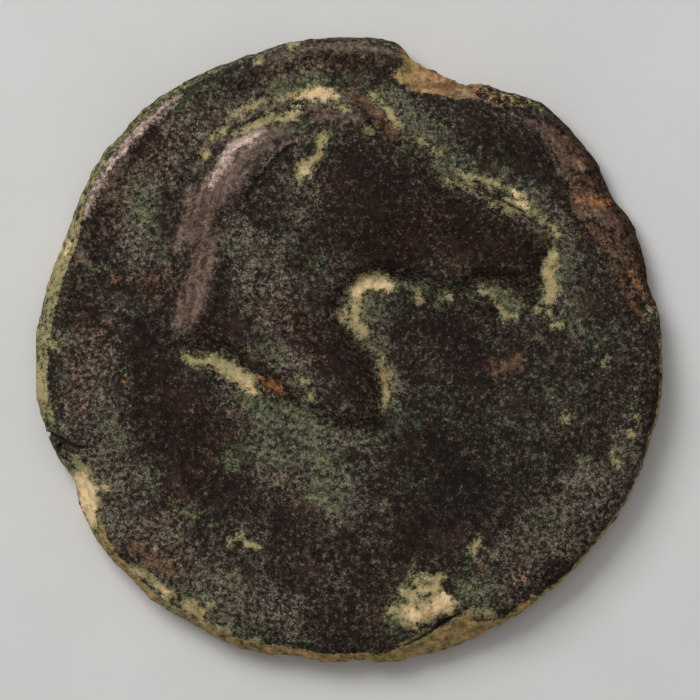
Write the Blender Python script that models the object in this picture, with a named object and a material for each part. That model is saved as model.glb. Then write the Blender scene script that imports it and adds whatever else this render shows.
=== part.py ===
"""An ancient struck bronze coin, lying with its horse-head side up.

One solid: a thick round flan with an uneven, sloping edge and a bite broken out of its rim. The upper face
carries the worn head and neck of a horse, facing +X. The lower face is dished inside a flat worn border,
which the coin rests on, and carries a worn date palm. Origin at the middle of the footprint, +Z up.
"""

import math

import bmesh
import bpy
import numpy as np
from mathutils import Vector
from mathutils.geometry import delaunay_2d_cdt

MM = 0.001

# --- driving dimensions of the flan ------------------------------------------------------------------------
FIELD_Z = 1.75 * MM  # level of the upper field, above the table
DOME = 0.12 * MM  # how far the field swells towards the middle of the coin
ROLL = 0.14 * MM  # how far the face rounds down at its rim
ROLL_WIDTH = 0.45 * MM
LIP = 0.16 * MM  # the raised border, which only the upper left of the rim kept
LIP_INSET = 0.42 * MM
LIP_WIDTH = 0.36 * MM
LIP_MIDDLE = 136  # degrees round the rim
LIP_SPREAD = 52
EDGE_DROP = 0.36 * MM  # from the rim of the face down to the coin's widest line
EDGE_SLOPE = 0.42  # and further down for each unit that the edge slopes outwards
BORDER = 1.15 * MM  # width of the flat border that the coin rests on
UNDERCUT = 0.50 * MM  # how far the border's outer rim lies inside the widest line
DISH = 0.22 * MM  # depth of the dished lower face
DISH_SLOPE = 3.6 * MM

FLAN_RADIUS = 10.3 * MM
# Where the flan swells out or falls in: degrees round the rim, how far that spreads, and mm outwards.
FLAN_SWELLS = (
    (12, 4, -0.15), (27, 18, -0.16), (31, 4, -0.15), (109, 8, -0.05), (127, 7, 0.10), (141, 4, 0.07),
    (159, 8, -0.25), (170, 5, -0.07), (188, 6, 0.10), (205, 4, -0.22), (220, 5, 0.14), (232, 6, 0.20),
    (247, 8, 0.14), (260, 3, -0.08), (272, 3, -0.06), (278, 3, 0.08), (289, 4, 0.07), (335, 7, 0.10),
    (350, 8, 0.05),
)
# The bite out of the rim: degrees, and mm that it goes in.
BITE = ((52, 0), (56, 0.2), (60, 0.45), (63, 0.5), (67, 0.8), (75, 0.7), (78, 0.6), (80, 0.15), (83, 0))
# How wide the sloping edge is between the face and the flan's widest line: degrees, and mm.
EDGE_WIDTHS = (
    (-2, 0.25), (5, 0.5), (12, 0.8), (19, 1.1), (26, 1.4), (33, 1.4), (40, 1.1), (47, 0.8), (53, 0.7),
    (62, 0.5), (70, 0.6), (76, 0.85), (80, 0.5), (85, 0.35), (100, 0.25), (148, 0.25), (158, 0.5), (192, 0.5),
    (199, 0.35), (205, 0.8), (213, 0.75), (220, 0.55), (250, 0.6), (274, 0.55), (284, 0.9), (291, 1.0),
    (298, 0.45), (312, 0.3),
)
CORNER_SOFTNESS = 0.8  # degrees over which the corners of these two tables are rounded

# --- the horse's head: outlines in mm from the coin's middle, each running on from the one before ----------
CREST = (
    (-1.75, 8.05), (-2.90, 8.10), (-4.10, 7.42), (-5.00, 6.30), (-5.48, 4.95), (-5.72, 3.40), (-5.95, 1.70),
    (-6.00, 0.10),
)
CUT_OF_NECK = ((-5.20, -0.05), (-4.35, -0.12), (-3.30, -0.80), (-1.85, -1.92), (-0.50, -2.55), (1.00, -2.68))
THROAT = ((1.22, -1.85), (1.08, -0.80), (0.62, 0.12), (-0.15, 1.12))
JAW = ((0.05, 1.85), (0.85, 2.32), (2.10, 2.14), (3.40, 1.70))
CHIN = ((3.95, 1.22), (4.55, 0.95), (5.08, 1.25), (4.75, 1.78), (4.12, 2.12))
LIP_AND_NOSTRIL = (
    (4.75, 2.20), (5.55, 1.68), (6.10, 1.45), (6.36, 2.10), (6.36, 2.85), (6.68, 3.40), (6.50, 4.02),
)
NOSE = ((5.90, 4.42), (4.50, 5.06), (3.15, 5.48))
FOREHEAD = ((2.80, 5.95), (2.10, 6.68), (1.52, 7.08))
FORELOCK = ((0.95, 7.85), (0.45, 8.32), (-0.10, 8.48), (-0.85, 8.22))
HORSE = (*CREST, *CUT_OF_NECK, *THROAT, *JAW, *CHIN, *LIP_AND_NOSTRIL, *NOSE, *FOREHEAD, *FORELOCK)

# --- lines inside the head ---------------------------------------------------------------------------------
MANE_FRONT = (
    (-1.38, 7.00), (-2.05, 6.64), (-2.75, 5.98), (-3.42, 4.95), (-3.85, 3.60), (-4.25, 2.10), (-4.75, 0.60),
)
MANE_LOCK = (
    (-1.95, 7.42), (-2.85, 7.12), (-3.62, 6.68), (-4.28, 6.00), (-4.72, 5.00), (-4.95, 3.60), (-5.12, 2.00),
    (-5.42, 0.60),
)
TOP_LOCK = ((-1.75, 7.90), (-2.60, 7.88), (-3.40, 7.55), (-4.15, 7.00), (-4.75, 6.25))
LOCK_PARTING = ((-1.75, 7.68), (-2.60, 7.52), (-3.50, 7.12), (-4.20, 6.56), (-4.80, 5.80))
CHEEK_BACK = ((-1.30, 4.75), (-1.42, 4.00), (-1.28, 3.20), (-0.92, 2.50), (-0.50, 2.00))
FORELOCK_BACK = ((-0.95, 7.84), (-0.15, 7.96), (0.45, 7.66), (0.95, 7.10), (1.22, 6.60))
FACE_CREST = ((2.20, 5.05), (3.40, 4.30), (4.60, 3.75))
THROAT_GROOVE = ((-1.40, 1.60), (-1.30, 0.80), (-0.78, -0.20), (-0.05, -1.30))
BROW = ((1.35, 6.22), (1.75, 6.42), (2.20, 6.30), (2.50, 5.95))
MUZZLE_FOLD = ((5.35, 4.35), (5.62, 3.75), (5.65, 3.10), (5.45, 2.55))
EAR_BASE = (-1.62, 5.72)
EAR_TIP = (-0.62, 7.60)
# A line, half its width, its height (negative for a groove), and the share of it that fades at each end.
RIDGES = (
    (MANE_LOCK, 0.52, 0.22, 0.08), (TOP_LOCK, 0.17, 0.12, 0.15), (LOCK_PARTING, 0.13, -0.20, 0.15),
    (MANE_FRONT, 0.20, -0.09, 0.15), (CHEEK_BACK, 0.28, -0.13, 0.4), (THROAT_GROOVE, 0.26, -0.11, 0.4),
    (FORELOCK_BACK, 0.14, -0.12, 0.3), (FACE_CREST, 0.30, 0.08, 0.5), (MUZZLE_FOLD, 0.24, -0.08, 0.5),
    (BROW, 0.16, 0.11, 0.4),
)
# The middle of a mound, its half-widths, the degrees that the first one is turned from +X, and its height.
MOUNDS = (
    ((0.35, 3.95), (2.40, 2.60), 60, 0.22),  # cheek
    ((3.70, 4.15), (3.10, 1.25), -27, 0.10),  # bone of the nose
    ((5.50, 2.95), (1.20, 1.50), 0, 0.11),  # muzzle
    ((-0.20, -0.30), (1.15, 2.60), 15, 0.14),  # front of the neck
    ((-2.60, 1.80), (1.50, 3.40), 12, 0.08),  # side of the neck
    ((6.00, 3.45), (0.26, 0.42), -20, -0.20),  # nostril
    ((1.92, 6.02), (0.50, 0.38), -25, 0.17),  # eye
)

RELIEF = 0.42 * MM  # height of the horse above the field
SHOULDER = 0.44 * MM  # width over which its edge rounds up to that height
SOFT_SHOULDER = 0.50 * MM  # added to that width along the mane, which wore away the most

# --- the date palm on the lower face, upright when the coin is turned over towards its foot ----------------
PALM_RELIEF = 0.24 * MM  # before wear, which took all of it that stood above the border
PALM_TRUNK = ((0, 0.8), (0, 5.2))
GROUND_LINE = ((-2.4, 5.2), (0, 5.2), (2.4, 5.2))
FROND_REACH = 4.7
FROND_ANGLES = (8, 34, 62, 90, 118, 146, 172)  # degrees above the horizon at the crown, before they droop
FROND_DROOP = 2.6
DATE_CLUSTERS = ((-1.35, 1.75), (1.35, 1.75))

# --- spacing of the mesh -----------------------------------------------------------------------------------
RIM_POINTS = 168
LINE_STEP = 0.27 * MM
FINE = 0.225 * MM
COARSE = 0.62 * MM
OUTLINE_ROWS = (0.13, 0.28, 0.46, -0.17, -0.42)  # mm inside the horse's outline
PALM_ROWS = (0, -0.28, 0.28, -0.56, 0.56)  # mm beside the lines of the palm


def ease(share):
    share = np.clip(share, 0, 1)
    return share * share * (3 - 2 * share)


def round_the_rim(table, angle):
    """What a table of degrees and values gives at these angles, with its corners rounded."""
    degrees, values = zip(*table)
    shifts = np.linspace(-CORNER_SOFTNESS, CORNER_SOFTNESS, 5)
    found = [np.interp(np.degrees(angle) + shift, degrees, values, period=360) for shift in shifts]
    return sum(found) / len(found)


def flan_radius(angle):
    """The coin's widest line: a circle with its swellings, dents and bite."""
    out = -round_the_rim(BITE, angle)
    for middle, spread, rise in FLAN_SWELLS:
        turned = (np.degrees(angle) - middle + 180) % 360 - 180
        out = out + rise * np.exp(-((turned / spread) ** 2))
    return FLAN_RADIUS + out * MM


def edge_width(angle):
    return round_the_rim(EDGE_WIDTHS, angle) * MM


def curve(points, closed=False, step=LINE_STEP):
    """A smooth Catmull-Rom line through points given in mm, as places in metres about a step apart."""
    knots = np.array(points) * MM
    if closed:
        line = [knots[-1], *knots, knots[0], knots[1]]
    else:
        line = [2 * knots[0] - knots[1], *knots, 2 * knots[-1] - knots[-2]]
    found = []
    for before, start, end, after in zip(line, line[1:], line[2:], line[3:]):
        pieces = max(1, round(float(np.linalg.norm(end - start)) / step))
        for t in np.arange(pieces)[:, None] / pieces:
            bend = 2 * start + (end - before) * t + (2 * before - 5 * start + 4 * end - after) * t**2
            found.append((bend + (3 * start - 3 * end + after - before) * t**3) / 2)
    found = np.vstack(found)
    return found if closed else np.vstack([found, knots[-1:]])


def nearest(places, line, closed=False):
    """Distance from each place to a line, and the share of the line's length at the nearest point."""
    ends = [*line[1:], line[0]] if closed else line[1:]
    apart = np.full(len(places), np.inf)
    share = np.zeros(len(places))
    for number, (start, end) in enumerate(zip(line, ends)):
        along = end - start
        t = np.clip((places - start) @ along / (along @ along), 0, 1)
        far = np.linalg.norm(places - start - t[:, None] * along, axis=1)
        share = np.where(far < apart, (number + t) / len(ends), share)
        apart = np.minimum(far, apart)
    return apart, share


def inside(places, outline):
    """Whether each place lies inside a closed outline, by counting crossings."""
    x, y = places[:, :1], places[:, 1:]
    x0, y0 = outline[:, 0], outline[:, 1]
    x1, y1 = np.roll(x0, -1), np.roll(y0, -1)
    rise = np.where(y1 == y0, 1e-12, y1 - y0)
    crosses = ((y0 > y) != (y1 > y)) & (x < x0 + (y - y0) * (x1 - x0) / rise)
    return crosses.sum(axis=1) % 2 == 1


def ridge(places, points, width, height, fade=0.15):
    """A rounded ridge along a line, or a groove where height is negative, fading out towards both ends."""
    apart, share = nearest(places, curve(points))
    ends = ease(np.minimum(share, 1 - share) / fade)
    return height * MM * np.exp(-((apart / (width * MM)) ** 2)) * ends


def mound(places, centre, radii, turn, height):
    """A smooth low mound with these half-widths in mm, its first one turned this many degrees from +X."""
    x, y = (places - np.array(centre) * MM).T
    c, s = math.cos(math.radians(turn)), math.sin(math.radians(turn))
    far = ((x * c + y * s) / (radii[0] * MM)) ** 2 + ((y * c - x * s) / (radii[1] * MM)) ** 2
    return height * MM * np.clip(1 - far, 0, 1) ** 2


def polar(places):
    return np.hypot(places[:, 0], places[:, 1]), np.arctan2(places[:, 1], places[:, 0])


def face_radius(angle):
    """Where the upper face ends and the sloping edge begins."""
    return flan_radius(angle) - edge_width(angle)


def upper_field(places):
    """Height of the upper face without its horse."""
    radius, angle = polar(places)
    rim = face_radius(angle)
    inset = rim - radius
    turned = (np.degrees(angle) - LIP_MIDDLE + 180) % 360 - 180
    lip = LIP * np.exp(-((turned / LIP_SPREAD) ** 4)) * np.exp(-(((inset - LIP_INSET) / LIP_WIDTH) ** 2))
    return FIELD_Z + DOME * (1 - (radius / rim) ** 2) + lip - ROLL * ease(1 - inset / ROLL_WIDTH)


def ear(places):
    """A leaf-shaped ear, standing proud at its edges and hollow inside."""
    base, tip = np.array(EAR_BASE), np.array(EAR_TIP)
    middle, half = (base + tip) / 2, float(np.linalg.norm(tip - base)) / 2
    turn = math.degrees(math.atan2(*(tip - base)[::-1]))
    shell = mound(places, middle, (half * 1.15, 0.58), turn, 0.30)
    return shell - mound(places, middle, (half * 0.80, 0.30), turn, 0.26)


def horse(places):
    """Height of the horse's head and neck above the field, worn low and smooth."""
    outline = curve(HORSE, closed=True)
    apart, _ = nearest(places, outline, closed=True)
    depth = np.where(inside(places, outline), apart, 0)
    shoulder = SHOULDER + SOFT_SHOULDER * ease(-places[:, 0] / (2.0 * MM) - 2.0)
    body = np.sin(np.clip(depth / shoulder, 0, 1) * math.pi / 2)
    forms = ear(places)
    forms += sum(mound(places, *form) for form in MOUNDS)
    forms += sum(ridge(places, *form) for form in RIDGES)
    return body * (RELIEF + forms)


def upper_face(places):
    return upper_field(places) + horse(places)


def frond(angle):
    """The line of one frond, arching out from the crown at the coin's middle and drooping at its tip."""
    x, y = math.cos(math.radians(angle)), math.sin(math.radians(angle))
    found = []
    for share in (0.10, 0.40, 0.70, 1.0):
        fall = FROND_DROOP * abs(x) * share**2.5
        found.append((FROND_REACH * share * x, fall - FROND_REACH * share * y))
    return found


def palm(places):
    """Height of the palm above the dished lower face, before wear."""
    found = mound(places, (0, 0), (1.25, 1.25), 0, 1.6)
    found = np.maximum(found, ridge(places, PALM_TRUNK, 0.42, 1, 0.04))
    found = np.maximum(found, ridge(places, GROUND_LINE, 0.26, 0.7))
    for angle in FROND_ANGLES:
        found = np.maximum(found, ridge(places, frond(angle), 0.36, 0.9, 0.10))
    for cluster in DATE_CLUSTERS:
        found = np.maximum(found, mound(places, cluster, (0.60, 0.95), 0, 0.9))
    return PALM_RELIEF * found / MM


def border_radius(angle):
    """Outer rim of the flat border under the coin."""
    return flan_radius(angle) - UNDERCUT


def lower_face(places):
    """Height of the lower face above the table: none where it is worn flat, and dished inside the border."""
    radius, angle = polar(places)
    inset = border_radius(angle) - BORDER - radius
    return np.maximum(DISH - palm(places), 0) * ease(inset / DISH_SLOPE)


def rim_angles():
    """Angles at even steps of the way round the flan's outline."""
    fine = np.linspace(0, 2 * math.pi, 1441)
    outline = np.column_stack([np.cos(fine), np.sin(fine)]) * flan_radius(fine)[:, None]
    way = np.concatenate([[0], np.cumsum(np.linalg.norm(np.diff(outline, axis=0), axis=1))])
    return np.interp(np.arange(RIM_POINTS) * way[-1] / RIM_POINTS, way, fine)


def ring(radius_at):
    angles = rim_angles()
    return np.column_stack([np.cos(angles), np.sin(angles)]) * radius_at(angles)[:, None]


def lattice(spacing, wanted):
    """Places in a grid of even triangles, where wanted says so."""
    reach = 11 * MM
    rows = np.arange(-reach, reach, spacing * math.sqrt(3) / 2)
    columns = np.arange(-reach, reach, spacing)
    places = np.array([(x + (spacing / 2 if i % 2 else 0), y) for i, y in enumerate(rows) for x in columns])
    return places[wanted(places)]


def beside(line, gap, closed=False):
    """A line moved left by gap mm, or right if that is negative, less what would come too near it."""
    before, after = (np.roll(line, 1, axis=0), np.roll(line, -1, axis=0)) if closed else (line[:-2], line[2:])
    along = after - before
    left = np.column_stack([-along[:, 1], along[:, 0]]) / np.linalg.norm(along, axis=1)[:, None]
    moved = (line if closed else line[1:-1]) + gap * MM * left
    return moved[nearest(moved, line, closed)[0] >= abs(gap) * MM * 0.93]


def fill(lines, groups):
    """The places of each group in turn that keep its gap from the lines and from the places before them."""
    kept = np.vstack(lines)
    first = len(kept)
    for places, gap in groups:
        for place in places:
            if np.linalg.norm(kept - place, axis=1).min() > gap:
                kept = np.vstack([kept, place])
    return kept[first:]


def face_mesh(bm, lines, fillers, height):
    """Adds a triangulated face to bm. The first line bounds it; all lines are closed and stay as edges."""
    points, edges = [], []
    for line in lines:
        first, last = len(points), len(points) + len(line) - 1
        points += [Vector(place) for place in line]
        edges += [(i, i + 1) for i in range(first, last)] + [(last, first)]
    points += [Vector(place) for place in fillers]
    found, _, faces, *_ = delaunay_2d_cdt(points, edges, [list(range(len(lines[0])))], 1, 1e-8)
    flat = np.array([tuple(place) for place in found])
    vertices = [bm.verts.new((x, y, z)) for (x, y), z in zip(flat, height(flat))]
    for face in faces:
        bm.faces.new([vertices[i] for i in face])


def add_upper_face(bm):
    outline = curve(HORSE, closed=True)
    lines = [ring(face_radius), ring(lambda angle: face_radius(angle) - LIP_INSET), outline]
    inner = [curve(points) for points in (MANE_LOCK, LOCK_PARTING, MANE_FRONT, FORELOCK_BACK)]

    def on_horse(places):
        return inside(places, outline)

    def on_field(places):
        radius, angle = polar(places)
        return ~inside(places, outline) & (radius < face_radius(angle) - LIP_INSET - 0.28 * MM)

    groups = [(beside(outline, gap, closed=True), 0.12 * MM) for gap in OUTLINE_ROWS]
    groups += [(line, 0.13 * MM) for line in inner]
    groups += [(beside(line, gap), 0.13 * MM) for line in inner for gap in (-0.20, 0.20)]
    groups += [(lattice(FINE, on_horse), 0.16 * MM), (lattice(COARSE, on_field), 0.34 * MM)]
    face_mesh(bm, lines, fill(lines, groups), upper_face)


def add_lower_face(bm):
    lines = [ring(border_radius)[::-1], ring(lambda angle: border_radius(angle) - BORDER)[::2]]

    def on_dish(places):
        radius, angle = polar(places)
        return radius < border_radius(angle) - BORDER - 0.3 * MM

    def on_palm(places):
        return on_dish(places) & (palm(places) > 0.01 * MM)

    inner = [curve(points) for points in (PALM_TRUNK, *map(frond, FROND_ANGLES))]
    groups = [(beside(line, gap), 0.20 * MM) for gap in PALM_ROWS for line in inner]
    groups += [(lattice(1.25 * FINE, on_palm), 0.22 * MM), (lattice(COARSE, on_dish), 0.40 * MM)]
    face_mesh(bm, lines, fill(lines, groups), lower_face)


def add_edge(bm):
    """Bands from the rim of the upper face out to the widest line, and in under the coin to its border."""
    angles = rim_angles()
    wide, slope = flan_radius(angles), edge_width(angles)
    top = upper_face(ring(face_radius))
    middle = top - EDGE_DROP - EDGE_SLOPE * slope
    bands = (
        (wide - slope, top),
        (wide - 0.45 * slope, top * 0.58 + middle * 0.42 + 0.03 * MM),
        (wide, middle),
        (wide - 0.06 * MM, 0.40 * middle + 0.10 * MM),
        (wide - UNDERCUT, np.zeros(RIM_POINTS)),
    )
    loops = []
    for radius, height in bands:
        places = np.column_stack([radius * np.cos(angles), radius * np.sin(angles), height])
        rim = [bm.verts.new(place) for place in places]
        loops.append([bm.edges.new((rim[i - 1], rim[i])) for i in range(RIM_POINTS)])
    for upper, lower in zip(loops, loops[1:]):
        bmesh.ops.bridge_loops(bm, edges=upper + lower)


def bronze():
    """Old bronze under a dark brown and green patina."""
    material = bpy.data.materials.new("patinated_bronze")
    material.use_nodes = True
    shader = material.node_tree.nodes["Principled BSDF"]
    shader.inputs["Base Color"].default_value = (0.050, 0.040, 0.030, 1)
    shader.inputs["Roughness"].default_value = 0.6
    shader.inputs["Metallic"].default_value = 0.2
    return material


def clear_scene():
    for thing in list(bpy.data.objects):
        bpy.data.objects.remove(thing)


def add_coin():
    bm = bmesh.new()
    add_upper_face(bm)
    add_lower_face(bm)
    add_edge(bm)
    bmesh.ops.remove_doubles(bm, verts=bm.verts, dist=1e-7)
    bmesh.ops.recalc_face_normals(bm, faces=bm.faces)
    outline = ring(flan_radius)
    middle = (outline.min(axis=0) + outline.max(axis=0)) / 2
    bmesh.ops.translate(bm, verts=bm.verts, vec=(-middle[0], -middle[1], 0))
    mesh = bpy.data.meshes.new("coin")
    bm.to_mesh(mesh)
    bm.free()
    mesh.shade_smooth()
    mesh.set_sharp_from_angle(angle=math.radians(40))
    mesh.materials.append(bronze())
    coin = bpy.data.objects.new("coin", mesh)
    collection = bpy.data.collections.new("bronze_coin")
    bpy.context.scene.collection.children.link(collection)
    collection.objects.link(coin)
    return coin


clear_scene()
add_coin()
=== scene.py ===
import math

import bpy
import numpy as np
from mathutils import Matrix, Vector, noise


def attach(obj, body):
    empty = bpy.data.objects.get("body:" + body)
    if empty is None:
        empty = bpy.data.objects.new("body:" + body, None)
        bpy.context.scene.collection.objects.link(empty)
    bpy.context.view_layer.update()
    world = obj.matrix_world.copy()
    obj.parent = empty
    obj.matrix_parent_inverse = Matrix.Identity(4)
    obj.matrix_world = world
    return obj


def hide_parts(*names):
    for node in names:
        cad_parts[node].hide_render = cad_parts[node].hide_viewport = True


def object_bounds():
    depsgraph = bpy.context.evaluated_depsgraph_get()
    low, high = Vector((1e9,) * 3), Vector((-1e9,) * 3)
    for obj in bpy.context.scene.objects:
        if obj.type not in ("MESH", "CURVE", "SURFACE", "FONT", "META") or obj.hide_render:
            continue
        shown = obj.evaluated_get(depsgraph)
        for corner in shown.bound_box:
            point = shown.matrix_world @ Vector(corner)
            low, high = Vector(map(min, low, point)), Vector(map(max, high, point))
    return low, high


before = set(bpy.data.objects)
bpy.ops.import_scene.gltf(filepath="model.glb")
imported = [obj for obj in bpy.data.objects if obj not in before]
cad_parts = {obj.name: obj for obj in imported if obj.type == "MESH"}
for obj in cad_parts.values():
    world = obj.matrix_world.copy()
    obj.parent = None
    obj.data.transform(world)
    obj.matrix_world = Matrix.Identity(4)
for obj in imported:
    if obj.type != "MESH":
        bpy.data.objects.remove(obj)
cad_low, cad_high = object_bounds()

# ----------------------------------------------------------
# The flan: a thick disc of leaded bronze, cast, then struck between two dies, which left its edge sloping
# and wandering. Long after, a piece of the rim broke away. Places are in mm from the flan's own middle.
FIELD = 1.75  # level of the upper field above the table
DOME = 0.12  # how much higher the field stands in the middle
ROLL, ROLL_WIDTH = 0.14, 0.45  # how the face rounds down at its rim
LIP, LIP_INSET, LIP_WIDTH = 0.14, 0.3, 0.3  # the raised border, kept only at the upper left
LIP_MIDDLE, LIP_SPREAD, LIP_FADE = 136, 52, 20  # degrees
LESS_ROLL, LESS_ROLL_WIDTH = 0.4, 0.5  # the shares that the rounding loses along that border
FLAN_RADIUS = 10.3
# Where the flan swells out or falls in: degrees round the rim, how far that spreads, and mm outwards.
FLAN_SWELLS = (
    (12, 4, -0.15), (27, 18, -0.16), (31, 4, -0.15), (109, 8, -0.05), (127, 7, 0.1), (141, 4, 0.07),
    (159, 8, -0.25), (170, 5, -0.07), (188, 6, 0.1), (205, 4, -0.22), (220, 5, 0.14), (232, 6, 0.2),
    (247, 8, 0.14), (260, 3, -0.08), (272, 3, -0.06), (278, 3, 0.08), (289, 4, 0.07), (335, 7, 0.1),
    (350, 8, 0.05),
)
# The bite out of the rim: degrees, and mm that it goes in.
BITE = ((52, 0), (56, 0.2), (60, 0.45), (63, 0.5), (67, 0.8), (75, 0.7), (78, 0.6), (80, 0.15), (83, 0))
# How wide the sloping edge is between the face and the flan's widest line: degrees, and mm.
EDGE_WIDTHS = (
    (-2, 0.25), (5, 0.5), (12, 0.8), (19, 1.1), (26, 1.4), (33, 1.4), (40, 1.1), (47, 0.8), (53, 0.7),
    (62, 0.5), (70, 0.6), (76, 0.85), (80, 0.5), (85, 0.35), (100, 0.25), (148, 0.25), (158, 0.5),
    (192, 0.5), (199, 0.35), (205, 0.8), (213, 0.75), (220, 0.55), (250, 0.6), (274, 0.55), (284, 0.9),
    (291, 1), (298, 0.45), (312, 0.3),
)


def ease(share):
    """0 to 1 as share goes from 0 to 1, with a smooth start and end."""
    share = np.clip(share, 0, 1)
    return share * share * (3 - 2 * share)


def turned_from(middle, angle):
    """Degrees from this middle round to each angle, between -180 and 180."""
    return (np.degrees(angle) - middle + 180) % 360 - 180


def round_the_rim(table, angle, column, soften=0.8):
    """One column of a table of (degrees, ...) rows at these angles, with its corners rounded."""
    rows, degrees = np.array(table), np.degrees(angle)
    shifts = np.linspace(-soften, soften, 5)
    return sum(np.interp(degrees + shift, rows[:, 0], rows[:, column], period=360) for shift in shifts) / 5


def widest(angle):
    """Radius of the coin's widest line: a circle with its swellings, dents and bite."""
    out = -round_the_rim(BITE, angle, 1)
    for middle, spread, rise in FLAN_SWELLS:
        out = out + rise * np.exp(-((turned_from(middle, angle) / spread) ** 2))
    return FLAN_RADIUS + out


def slope(angle):
    """Width of the sloping edge."""
    return round_the_rim(EDGE_WIDTHS, angle, 1)


def polar(places):
    """Radius and angle of each place."""
    return np.hypot(places[:, 0], places[:, 1]), np.arctan2(places[:, 1], places[:, 0])


def field(places):
    """Height of the upper face before the horse was struck into it."""
    radius, angle = polar(places)
    rim = widest(angle) - slope(angle)
    inset = rim - radius
    turned = turned_from(LIP_MIDDLE, angle)
    lip = LIP * np.exp(-((turned / LIP_SPREAD) ** 4)) * np.exp(-(((inset - LIP_INSET) / LIP_WIDTH) ** 2))
    by_lip = ease((turned + LIP_SPREAD) / LIP_FADE) * ease((LIP_SPREAD - turned) / LIP_FADE)
    roll_width = ROLL_WIDTH * (1 - LESS_ROLL_WIDTH * by_lip)
    roll = ROLL * (1 - LESS_ROLL * by_lip) * ease(1 - inset / roll_width)
    return FIELD + DOME * (1 - (radius / rim) ** 2) + lip - roll


# ----------------------------------------------------------
# The horse: head and neck facing +X, struck into the flan by the upper die and long since worn low and
# smooth. Its outline is one closed curve, and rounded mounds and ridges shape what lies inside.
CREST = ((-1.75, 8.05), (-2.9, 8.1), (-4.1, 7.42), (-5, 6.3), (-5.48, 4.95), (-5.72, 3.4), (-5.95, 1.7))
CUT_OF_NECK = (
    (-6, 0.1), (-5.2, -0.05), (-4.35, -0.12), (-3.3, -0.8), (-1.85, -1.92), (-0.5, -2.55), (1, -2.68),
)
THROAT_AND_JAW = (
    (1.22, -1.85), (1.08, -0.8), (0.62, 0.12), (-0.15, 1.12), (0.05, 1.85), (0.85, 2.32), (2.1, 2.14),
    (3.4, 1.7),
)
MUZZLE = (
    (3.95, 1.22), (4.55, 0.95), (5.08, 1.25), (4.75, 1.78), (4.12, 2.12), (4.75, 2.2), (5.55, 1.68),
    (6.1, 1.45), (6.36, 2.1), (6.36, 2.85), (6.68, 3.4), (6.5, 4.02), (5.9, 4.42), (4.5, 5.06),
    (3.15, 5.48),
)
FOREHEAD = ((2.8, 5.95), (2.1, 6.68), (1.52, 7.08), (0.95, 7.85), (0.45, 8.32), (-0.1, 8.48), (-0.85, 8.22))
HORSE = (*CREST, *CUT_OF_NECK, *THROAT_AND_JAW, *MUZZLE, *FOREHEAD)
MANE_FRONT = (
    (-1.38, 7), (-2.05, 6.64), (-2.75, 5.98), (-3.42, 4.95), (-3.85, 3.6), (-4.25, 2.1), (-4.75, 0.6),
)
MANE_LOCK = (
    (-2, 7.3), (-2.8, 7.05), (-3.5, 6.7), (-4.1, 6.15), (-4.5, 5.4), (-4.8, 4.4), (-4.95, 3.2), (-5.1, 1.8),
    (-5.4, 0.7),
)
TOP_LOCK = ((-1.75, 7.9), (-2.6, 7.88), (-3.4, 7.55), (-4.15, 7), (-4.75, 6.25))
LOCK_PARTING = ((-1.75, 7.68), (-2.6, 7.52), (-3.5, 7.12), (-4.2, 6.56), (-4.8, 5.8))
CHEEK_BACK = ((-1.3, 4.75), (-1.42, 4), (-1.28, 3.2), (-0.92, 2.5), (-0.5, 2))
FORELOCK_BACK = ((-0.95, 7.84), (-0.15, 7.96), (0.45, 7.66), (0.95, 7.1), (1.22, 6.6))
FACE_CREST = ((2.2, 5.05), (3.4, 4.3), (4.6, 3.75))
THROAT_GROOVE = ((-1.4, 1.6), (-1.3, 0.8), (-0.78, -0.2), (-0.05, -1.3))
NECK_FOLDS = (
    ((-1.75, 1.3), (-1.15, 0.3), (-0.3, -0.45), (0.5, -0.85)), ((-2.3, 0.9), (-1.7, -0.2), (-0.8, -1.1)),
)
BROW = ((1.35, 6.22), (1.75, 6.42), (2.2, 6.3), (2.5, 5.95))
MUZZLE_FOLD = ((5.35, 4.35), (5.62, 3.75), (5.65, 3.1), (5.45, 2.55))
EAR_BASE, EAR_TIP = (-1.62, 5.72), (-0.62, 7.6)
RIDGES = (  # line, width, height and the share of its length that fades at each end
    (TOP_LOCK, 0.17, 0.12, 0.15), (LOCK_PARTING, 0.13, -0.2, 0.15), (CHEEK_BACK, 0.28, -0.13, 0.4),
    (THROAT_GROOVE, 0.26, -0.11, 0.4), *((fold, 0.1, -0.035, 0.3) for fold in NECK_FOLDS),
    (FORELOCK_BACK, 0.14, -0.12, 0.3), (FACE_CREST, 0.3, 0.08, 0.5), (MUZZLE_FOLD, 0.24, -0.08, 0.5),
    (BROW, 0.16, 0.11, 0.4),
)
MOUNDS = (  # middle, half-widths, degrees turned and height
    ((0.35, 3.95), (2.4, 2.6), 60, 0.22),  # cheek
    ((3.7, 4.15), (3.1, 1.25), -27, 0.1),  # bone of the nose
    ((5.5, 2.95), (1.2, 1.5), 0, 0.11),  # muzzle
    ((-0.2, -0.3), (1.15, 2.6), 15, 0.14),  # front of the neck
    ((-2.6, 1.8), (1.5, 3.4), 12, 0.08),  # side of the neck
    ((-1.77, 8.0), (0.34, 0.3), 0, 0.1),  # knot of the mane at the poll
    ((6.0, 3.45), (0.26, 0.42), -20, -0.2),  # nostril
    ((1.92, 6.02), (0.5, 0.38), -25, 0.17),  # eye
    ((1.96, 6.02), (0.17, 0.15), 0, -0.1),  # the hollow in it
)
RELIEF, SHOULDER, WORN_SHOULDER = 0.42, 0.66, 0.5
LOCK_HEIGHT, LOCK_FRONT, LOCK_BACK = 0.13, 0.9, 0.34  # the mane's thick lock, wider towards the face
STRAND_HEIGHT, STRAND_WIDTH = 0.012, 0.3
SHEET_HEIGHT, SHEET_STEP, SHEET_WIDTH = 0.07, 0.24, 0.9  # the mane ends in a low step down to the neck


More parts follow.
